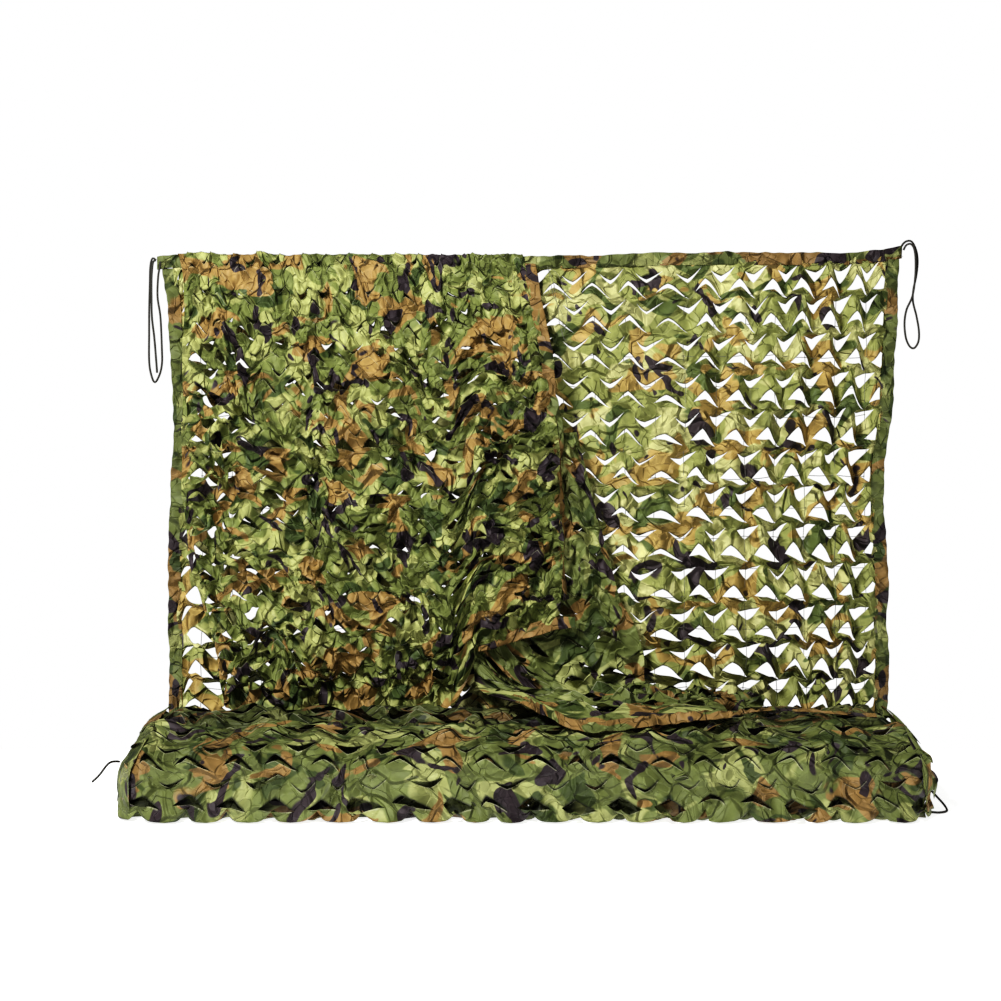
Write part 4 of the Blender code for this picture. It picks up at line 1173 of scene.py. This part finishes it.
drop = np.linspace(16, 706, 80) * MM
inner = read_table(FRONT_SIDE, drop)
back = np.radians(68) * ease((drop - 0.34) / 0.10)
fold = on_front(inner + TAPE_WIDTH * np.cos(back), drop + ARC)
fold[:, 1] += TAPE_WIDTH * np.sin(back)
bindings["binding_front_side"] = binding(
    "folded_layer_side_binding", fold, on_front(inner, drop + ARC),
    line(np.sin(back), -np.cos(back), 0), 1.1, hem_cloth,
)
x = np.linspace(-107, 92, 40) * MM
hem, wide = read_table(FRONT_HEM, x), read_table(HEM_WIDTH, x)
fold = on_front(x, hem + wide + ARC)
fold[:, 1] -= 0.35 * wide
bindings["binding_front_hem"] = binding(
    "folded_layer_hem_binding", fold, on_front(x, hem + ARC), line(0 * x, -0.94, 0.34), 1.7, hem_cloth,
)
x = np.linspace(-64, 666, 100) * MM
v = foot_way(x)
wide = FOOT_WIDTH * (1 - 0.55 * ease((x - 0.36) / 0.06))  # it runs out narrow at the right
out_y, out_z = along_route(v)[2:]
bindings["binding_foot"] = binding(
    "foot_binding", on_fall(x, v + 0.85 * wide, 3 * MM), on_fall(x, v, 4 * MM + read_table(FOOT_LIFT, x)),
    line(0 * x, out_y, out_z), 2.3, hem_cloth,
)

# %% Binding of the roll's left end
angle = np.radians(np.linspace(70, 226, 60))
edge = roll_ends(angle)[0]
fold, sewn = on_roll(edge + 5 * MM, angle, 8 * MM), on_roll(edge + 38 * MM, angle, 9 * MM)
away = on_roll(edge + 5 * MM, angle, 18 * MM) - fold
end_binding, _, end_size = binding("roll_end_binding", fold, sewn, away, 3.1, tape_cloth)

# %% [markdown]
# ## Stitches and the string mesh
# Both are one small thing many times over, so we let Geometry Nodes make them. Stitches are laid along
# each seam at an even pitch and turned to follow it. The string mesh hangs just behind the cloth:
# every thread becomes a thin tube, and every crossing gets a knot. Three strings have come loose and
# hang beside the top of the folded layer's edge.

# %% Geometry Nodes trees


def new_tree(name, sockets):
    """An empty node tree with a geometry in and out and named inputs."""
    tree = bpy.data.node_groups.new(name, "GeometryNodeTree")
    face = tree.interface
    face.new_socket("Geometry", in_out="INPUT", socket_type="NodeSocketGeometry")
    for label, kind in sockets.items():
        face.new_socket(label, in_out="INPUT", socket_type="NodeSocket" + kind)
    face.new_socket("Geometry", in_out="OUTPUT", socket_type="NodeSocketGeometry")
    return tree, add_node(tree, "NodeGroupInput").outputs


def finish_tree(tree, made, material):
    """Make real meshes of what was made and give them the material."""
    real = add_node(tree, "GeometryNodeRealizeInstances", {"Geometry": made}).outputs["Geometry"]
    painted = add_node(tree, "GeometryNodeSetMaterial", {"Geometry": real, "Material": material})
    add_node(tree, "NodeGroupOutput", {"Geometry": painted.outputs["Geometry"]})
    return tree


def stitch_tree():
    """Small long beads along a line, at an even pitch."""
    sockets = {"Pitch": "Float", "Size": "Vector", "Material": "Material"}
    tree, given = new_tree("stitches", sockets)
    seam = add_node(tree, "GeometryNodeMeshToCurve", {"Mesh": given["Geometry"]}).outputs["Curve"]
    steps = {"Curve": seam, "Length": given["Pitch"]}
    even = add_node(tree, "GeometryNodeResampleCurve", steps, mode="LENGTH").outputs["Curve"]
    bead = add_node(tree, "GeometryNodeMeshIcoSphere", {"Subdivisions": 1, "Radius": 1.0}).outputs["Mesh"]
    along = {"Vector": add_node(tree, "GeometryNodeInputTangent").outputs["Tangent"]}
    turn = add_node(tree, "FunctionNodeAlignRotationToVector", along, axis="X").outputs["Rotation"]
    beads = {"Points": even, "Instance": bead, "Rotation": turn, "Scale": given["Size"]}
    placed = add_node(tree, "GeometryNodeInstanceOnPoints", beads).outputs["Instances"]
    return finish_tree(tree, placed, given["Material"])


def string_tree():
    """A thin tube along every thread and a knot at every point marked as one."""
    sockets = {"Thickness": "Float", "Knot": "Float", "Material": "Material"}
    tree, given = new_tree("string_mesh", sockets)
    threads = add_node(tree, "GeometryNodeMeshToCurve", {"Mesh": given["Geometry"]}).outputs["Curve"]
    section = {"Resolution": 4, "Radius": given["Thickness"]}
    ring = add_node(tree, "GeometryNodeCurvePrimitiveCircle", section).outputs["Curve"]
    tube = add_node(tree, "GeometryNodeCurveToMesh", {"Curve": threads, "Profile Curve": ring})
    size = {"Subdivisions": 1, "Radius": given["Knot"]}
    knot = add_node(tree, "GeometryNodeMeshIcoSphere", size).outputs["Mesh"]
    marked = add_node(tree, "GeometryNodeInputNamedAttribute", {"Name": "knot"}, data_type="BOOLEAN")
    knots = {"Points": given["Geometry"], "Instance": knot, "Selection": marked.outputs["Attribute"]}
    placed = add_node(tree, "GeometryNodeInstanceOnPoints", knots).outputs["Instances"]
    both = add_node(tree, "GeometryNodeJoinGeometry", {"Geometry": tube.outputs["Mesh"]})
    tree.links.new(placed, both.inputs["Geometry"])
    return finish_tree(tree, both.outputs["Geometry"], given["Material"])


def run_tree(tree, name, mesh, values):
    """Run a node tree on a mesh and keep what it makes as a plain mesh."""
    piece = keep(mesh, name)
    modifier = piece.modifiers.new(name, "NODES")
    modifier.node_group = tree
    for socket in tree.interface.items_tree:
        if socket.in_out == "INPUT" and socket.name in values:
            modifier[socket.identifier] = values[socket.name]
    graph = bpy.context.evaluated_depsgraph_get()
    made = bpy.data.meshes.new_from_object(piece.evaluated_get(graph))
    piece.modifiers.clear()
    piece.data = made
    made.name = name
    print(name, len(made.polygons), "faces")
    return piece


def thread_material(name, colour, scale):
    """Plain twisted thread: one colour, slightly uneven."""
    material, tree, shader = new_material(name, 0.75)
    place = add_node(tree, "ShaderNodeTexCoord").outputs["Object"]
    pale = tuple(1.6 * c for c in colour)
    uneven = mix_colour(tree, noise(tree, place, scale), colour, pale)
    tree.links.new(uneven, shader.inputs["Base Color"])
    twists = {"Vector": moved(tree, place, turn=40), "Scale": 0.4 * scale, "Distortion": 1.0}
    twist = add_node(tree, "ShaderNodeTexWave", twists).outputs["Fac"]
    bumps = {"Height": twist, "Strength": 0.5, "Distance": 0.0006}
    tree.links.new(add_node(tree, "ShaderNodeBump", bumps).outputs["Normal"], shader.inputs["Normal"])
    return material


# %% Stitches
STITCH_PITCH, STITCH_SIZE = 6.5 * MM, (2.1 * MM, 0.4 * MM, 0.4 * MM)

thread = thread_material("sewing_thread", (0.10, 0.09, 0.04), 900.0)
stitches = stitch_tree()
seams = {}
for node, (piece, seam, _) in bindings.items():
    mesh = bpy.data.meshes.new("seam")
    mesh.from_pydata(seam.tolist(), [(k, k + 1) for k in range(len(seam) - 1)], [])
    values = {"Pitch": STITCH_PITCH, "Size": STITCH_SIZE, "Material": thread}
    seams[node] = run_tree(stitches, piece.name + "_stitches", mesh, values)


# %% String mesh
STRING_PITCH = 63
STRING_COLUMNS, STRING_ROWS = range(-11, 12), range(1, 16)
STRING_AT = (8, -20)  # x and height of the crossing in column 0 and row 0
STRING_NUDGE = 4  # each crossing lies up to this far from its place
STRING_STEPS = 4  # mesh steps from one crossing to the next
STRING_RADIUS, KNOT_RADIUS = 0.55 * MM, 1.5 * MM
STRING_BEHIND, STRING_SAG = 6 * MM, 2.0 * MM
STRAYS = (  # loose ends beside the top of the folded layer's edge
    (
        (36, -14, -22), (43, -17, -38), (50, -18, -60), (53, -18, -85), (59, -17, -110), (61, -16, -140),
        (68, -15, -166), (80, -13, -188),
    ),
    (
        (38, -14, -24), (42, -18, -52), (48, -20, -82), (59, -20, -104), (69, -19, -126), (66, -17, -152),
        (70, -15, -172), (86, -13, -180),
    ),
    (
        (40, -14, -24), (54, -18, -34), (66, -19, -54), (72, -19, -80), (79, -18, -108), (77, -16, -136),
        (71, -15, -158),
    ),
)
string = thread_material("string", (0.10, 0.10, 0.075), 700.0)


def string_lines():
    """The threads' points, pairs and knots: a square mesh that sags a little between its knots."""
    points, pairs, knots = [], [], []

    def crossing(column, row):
        """Where two threads cross, from the crossing's own seed."""
        dice = np.random.default_rng(1000 + 40 * column + row)
        nudge = dice.uniform(-STRING_NUDGE, STRING_NUDGE, 2)
        x = column * STRING_PITCH + STRING_AT[0] + nudge[0]
        z = -row * STRING_PITCH + STRING_AT[1] + nudge[1]
        return x * MM, z * MM

    def thread_between(start, end):
        """A thread from one crossing to the next; one that runs across sags a little."""
        across = abs(start[0] - end[0]) > STRING_PITCH / 2 * MM
        for k in range(STRING_STEPS + 1):
            share = k / STRING_STEPS
            x, z = (start[n] * (1 - share) + end[n] * share for n in (0, 1))
            z -= STRING_SAG * 4 * share * (1 - share) * across
            points.append((x, float(hang(x, z)) + STRING_BEHIND, z))
            knots.append(k == 0)
            if k:
                pairs.append((len(points) - 2, len(points) - 1))

    for column in STRING_COLUMNS:
        for row in STRING_ROWS:
            if column < STRING_COLUMNS[-1]:
                thread_between(crossing(column, row), crossing(column + 1, row))
            if row < STRING_ROWS[-1]:
                thread_between(crossing(column, row), crossing(column, row + 1))
    for stray in STRAYS:
        points += [tuple(v * MM for v in place) for place in stray]
        knots += [False] * len(stray)
        pairs += [(len(points) - k - 2, len(points) - k - 1) for k in range(len(stray) - 1)]
    return points, pairs, knots


points, pairs, knots = string_lines()
mesh = bpy.data.meshes.new("string_lines")
mesh.from_pydata(points, pairs, [])
mesh.attributes.new("knot", "BOOLEAN", "POINT").data.foreach_set("value", knots)
values = {"Thickness": STRING_RADIUS, "Knot": KNOT_RADIUS, "Material": string}
string_mesh = run_tree(string_tree(), "string_mesh", mesh, values)

# %% [markdown]
# ## Cords
# Thin braided cord, near black, ties the net at its corners and closes the roll. Each cord follows the
# route that it has in the plain model, drawn smooth through a few measured points. A cord is a curve
# with a round section rather than a mesh: the curve says how long it is, and its bevel how thick.

# %% Cords
CORD = 4.5 * MM
CORDS = {
    "loop_left": (
        (-778.7, 0, -9), (-786, -1, -5), (-790, -3, -22), (-791, -4, -60), (-792, -5, -110),
        (-792, -6, -161), (-792, -6, -217), (-788, -6, -246), (-780, -6.5, -263), (-770, -7, -247),
        (-765, -7.5, -224), (-765, -8, -195), (-768, -8, -128), (-774, -8, -86), (-773, -7.5, -45),
        (-770, -5, -22), (-769, -4, -12),
    ),
    "tail_left": (
        (-778.7, -4.9, -9.5), (-783.5, -8.5, -14), (-786, -10.5, -45), (-786, -11, -90),
        (-785, -11.5, -128), (-780, -12, -170), (-776, -12.5, -217), (-774, -13, -243),
    ),
    "loop_right": (
        (778.8, 0, 12), (784, -1, 22), (793, -2, 25), (800, -3, 16), (803, -4, -6), (802, -5, -45),
        (796, -5.5, -84), (784, -5, -112), (780, -4, -140), (783, -3, -170), (791, -2, -188),
        (801, -1, -192), (810, 0, -178), (811, 0.5, -155), (806, 1, -125), (799, 1.5, -95),
        (800, 2, -70), (806, 2.5, -42), (809, 2.5, -12), (806, 3.5, 12), (797, 5, 30), (785, 6.5, 30),
        (776, 6, 20), (771, 4.2, 8),
    ),
    "loop_roll": (
        (754.6, -282, -1023), (761.5, -288, -1026), (772, -296, -1037), (782, -305, -1048),
        (785, -317, -1054), (780, -328, -1054.6), (768, -334, -1054.6), (756, -333, -1054.6),
        (745, -328, -1054.6),
    ),
    "tie_roll": (
        (-789.3, -291, -971), (-794, -300, -968), (-800.5, -312, -966), (-806, -325, -969),
        (-816, -340, -982.5), (-827, -350, -992.5),
    ),
}


def smooth_route(points, spacing=3 * MM):
    """Points at even spacing on a smooth curve through a route in mm."""
    knots = np.array(points) * MM
    knots = np.concatenate([[2 * knots[0] - knots[1]], knots, [2 * knots[-1] - knots[-2]]])
    fine = []
    for a, b, c, d in zip(knots, knots[1:], knots[2:], knots[3:]):
        t = np.arange(24)[:, None] / 24
        bend, twist = 2 * a - 5 * b + 4 * c - d, 3 * b - a - 3 * c + d
        fine.append(0.5 * (2 * b + (c - a) * t + bend * t**2 + twist * t**3))
    fine = np.concatenate([*fine, [knots[-2]]])
    along = run_lengths(fine)
    at = np.linspace(0, along[-1], max(3, round(along[-1] / spacing)))
    return np.stack([np.interp(at, along, fine[:, k]) for k in range(3)], axis=1), float(along[-1])


def cord_piece(name, points, material):
    """A cord as one open curve with a round section."""
    data = bpy.data.curves.new(name, "CURVE")
    data.dimensions, data.bevel_depth = "3D", CORD / 2
    data.bevel_resolution, data.use_fill_caps = 3, True
    spline = data.splines.new("POLY")
    spline.points.add(len(points) - 1)
    for at, place in zip(spline.points, points):
        at.co = (*place, 1)
    data.materials.append(material)
    return keep(data, name)


braid = thread_material("braid", (0.014, 0.013, 0.009), 500.0)
cords = {}
for name, route in CORDS.items():
    points, length = smooth_route(route)
    cords[name] = cord_piece(name + "_cord", points, braid), points, length
    print(name, "is", round(length, 3), "m long")


# %% [markdown]
# ## Floor, declarations and finish
# The floor is a plain pale sheet in front of the hung net. It glows a little by itself, so that it
# stays as white as the surround and the net still casts a soft shadow on it. Then every piece is
# attached to what it moves with, and the plain node it stands for is hidden.

# %% Floor
FLOOR_BOX = (-1.7, -1.7, 1.7, 0.10)  # left, front, right and back, in metres
FLOOR_WHITE, FLOOR_GLOW = 0.92, 0.8

x0, y0, x1, y1 = FLOOR_BOX
level = FLOOR - 0.5 * MM
corners = [(x0, y0, level), (x1, y0, level), (x1, y1, level), (x0, y1, level)]
floor_mesh = bpy.data.meshes.new("floor")
floor_mesh.from_pydata(corners, [], [(0, 1, 2, 3)])
floor = keep(floor_mesh, "floor")
paint, _, shader = new_material("floor", 0.8)
shader.inputs["Base Color"].default_value = (FLOOR_WHITE, FLOOR_WHITE, FLOOR_WHITE, 1)
shader.inputs["Emission Color"].default_value = (1, 1, 1, 1)
shader.inputs["Emission Strength"].default_value = FLOOR_GLOW
floor_mesh.materials.append(paint)
print("floor at", round(level, 4))

SHEETS = (  # piece, plain node, its cut, how it is held and what it lies on
    (panel, "net_hung", panel_cut, "hung", ["top_binding"]),
    (front, "net_front", front_cut, "draped", ["top_binding", "panel_cloth_net"]),
    (inner_turn, "net_roll", inner_cut, "folded", ["floor"]),
    (under_turn, "net_roll", under_cut, "folded", ["roll_inner_turn"]),
    (outer_turn, "net_roll", outer_cut, "folded", ["roll_under_turn", "floor"]),
    (end_leaves, "net_roll", leaf_cut, "folded", ["roll_outer_turn"]),
    (heap, "net_roll", heap_cut, "folded", ["roll_under_turn"]),
    (fall, "net_fall", fall_cut, "gathered", ["panel_cloth_net", "roll_under_turn"]),
)


def declare(piece, node=None):
    """Say what a piece moves with, and hide the plain node it stands for."""
    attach(piece, "root")
    if node:
        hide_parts(node)


for piece, node, cut, way, rest in SHEETS:
    declare(piece, node)
    cut.size()

declare(string_mesh)
for node, (piece, _, size) in bindings.items():
    declare(piece, node)
    declare(seams[node])

declare(end_binding, "net_roll")
print("declared", len(SHEETS) + len(bindings) + 1, "sheets")

for name, (piece, points, length) in cords.items():
    declare(piece, name)
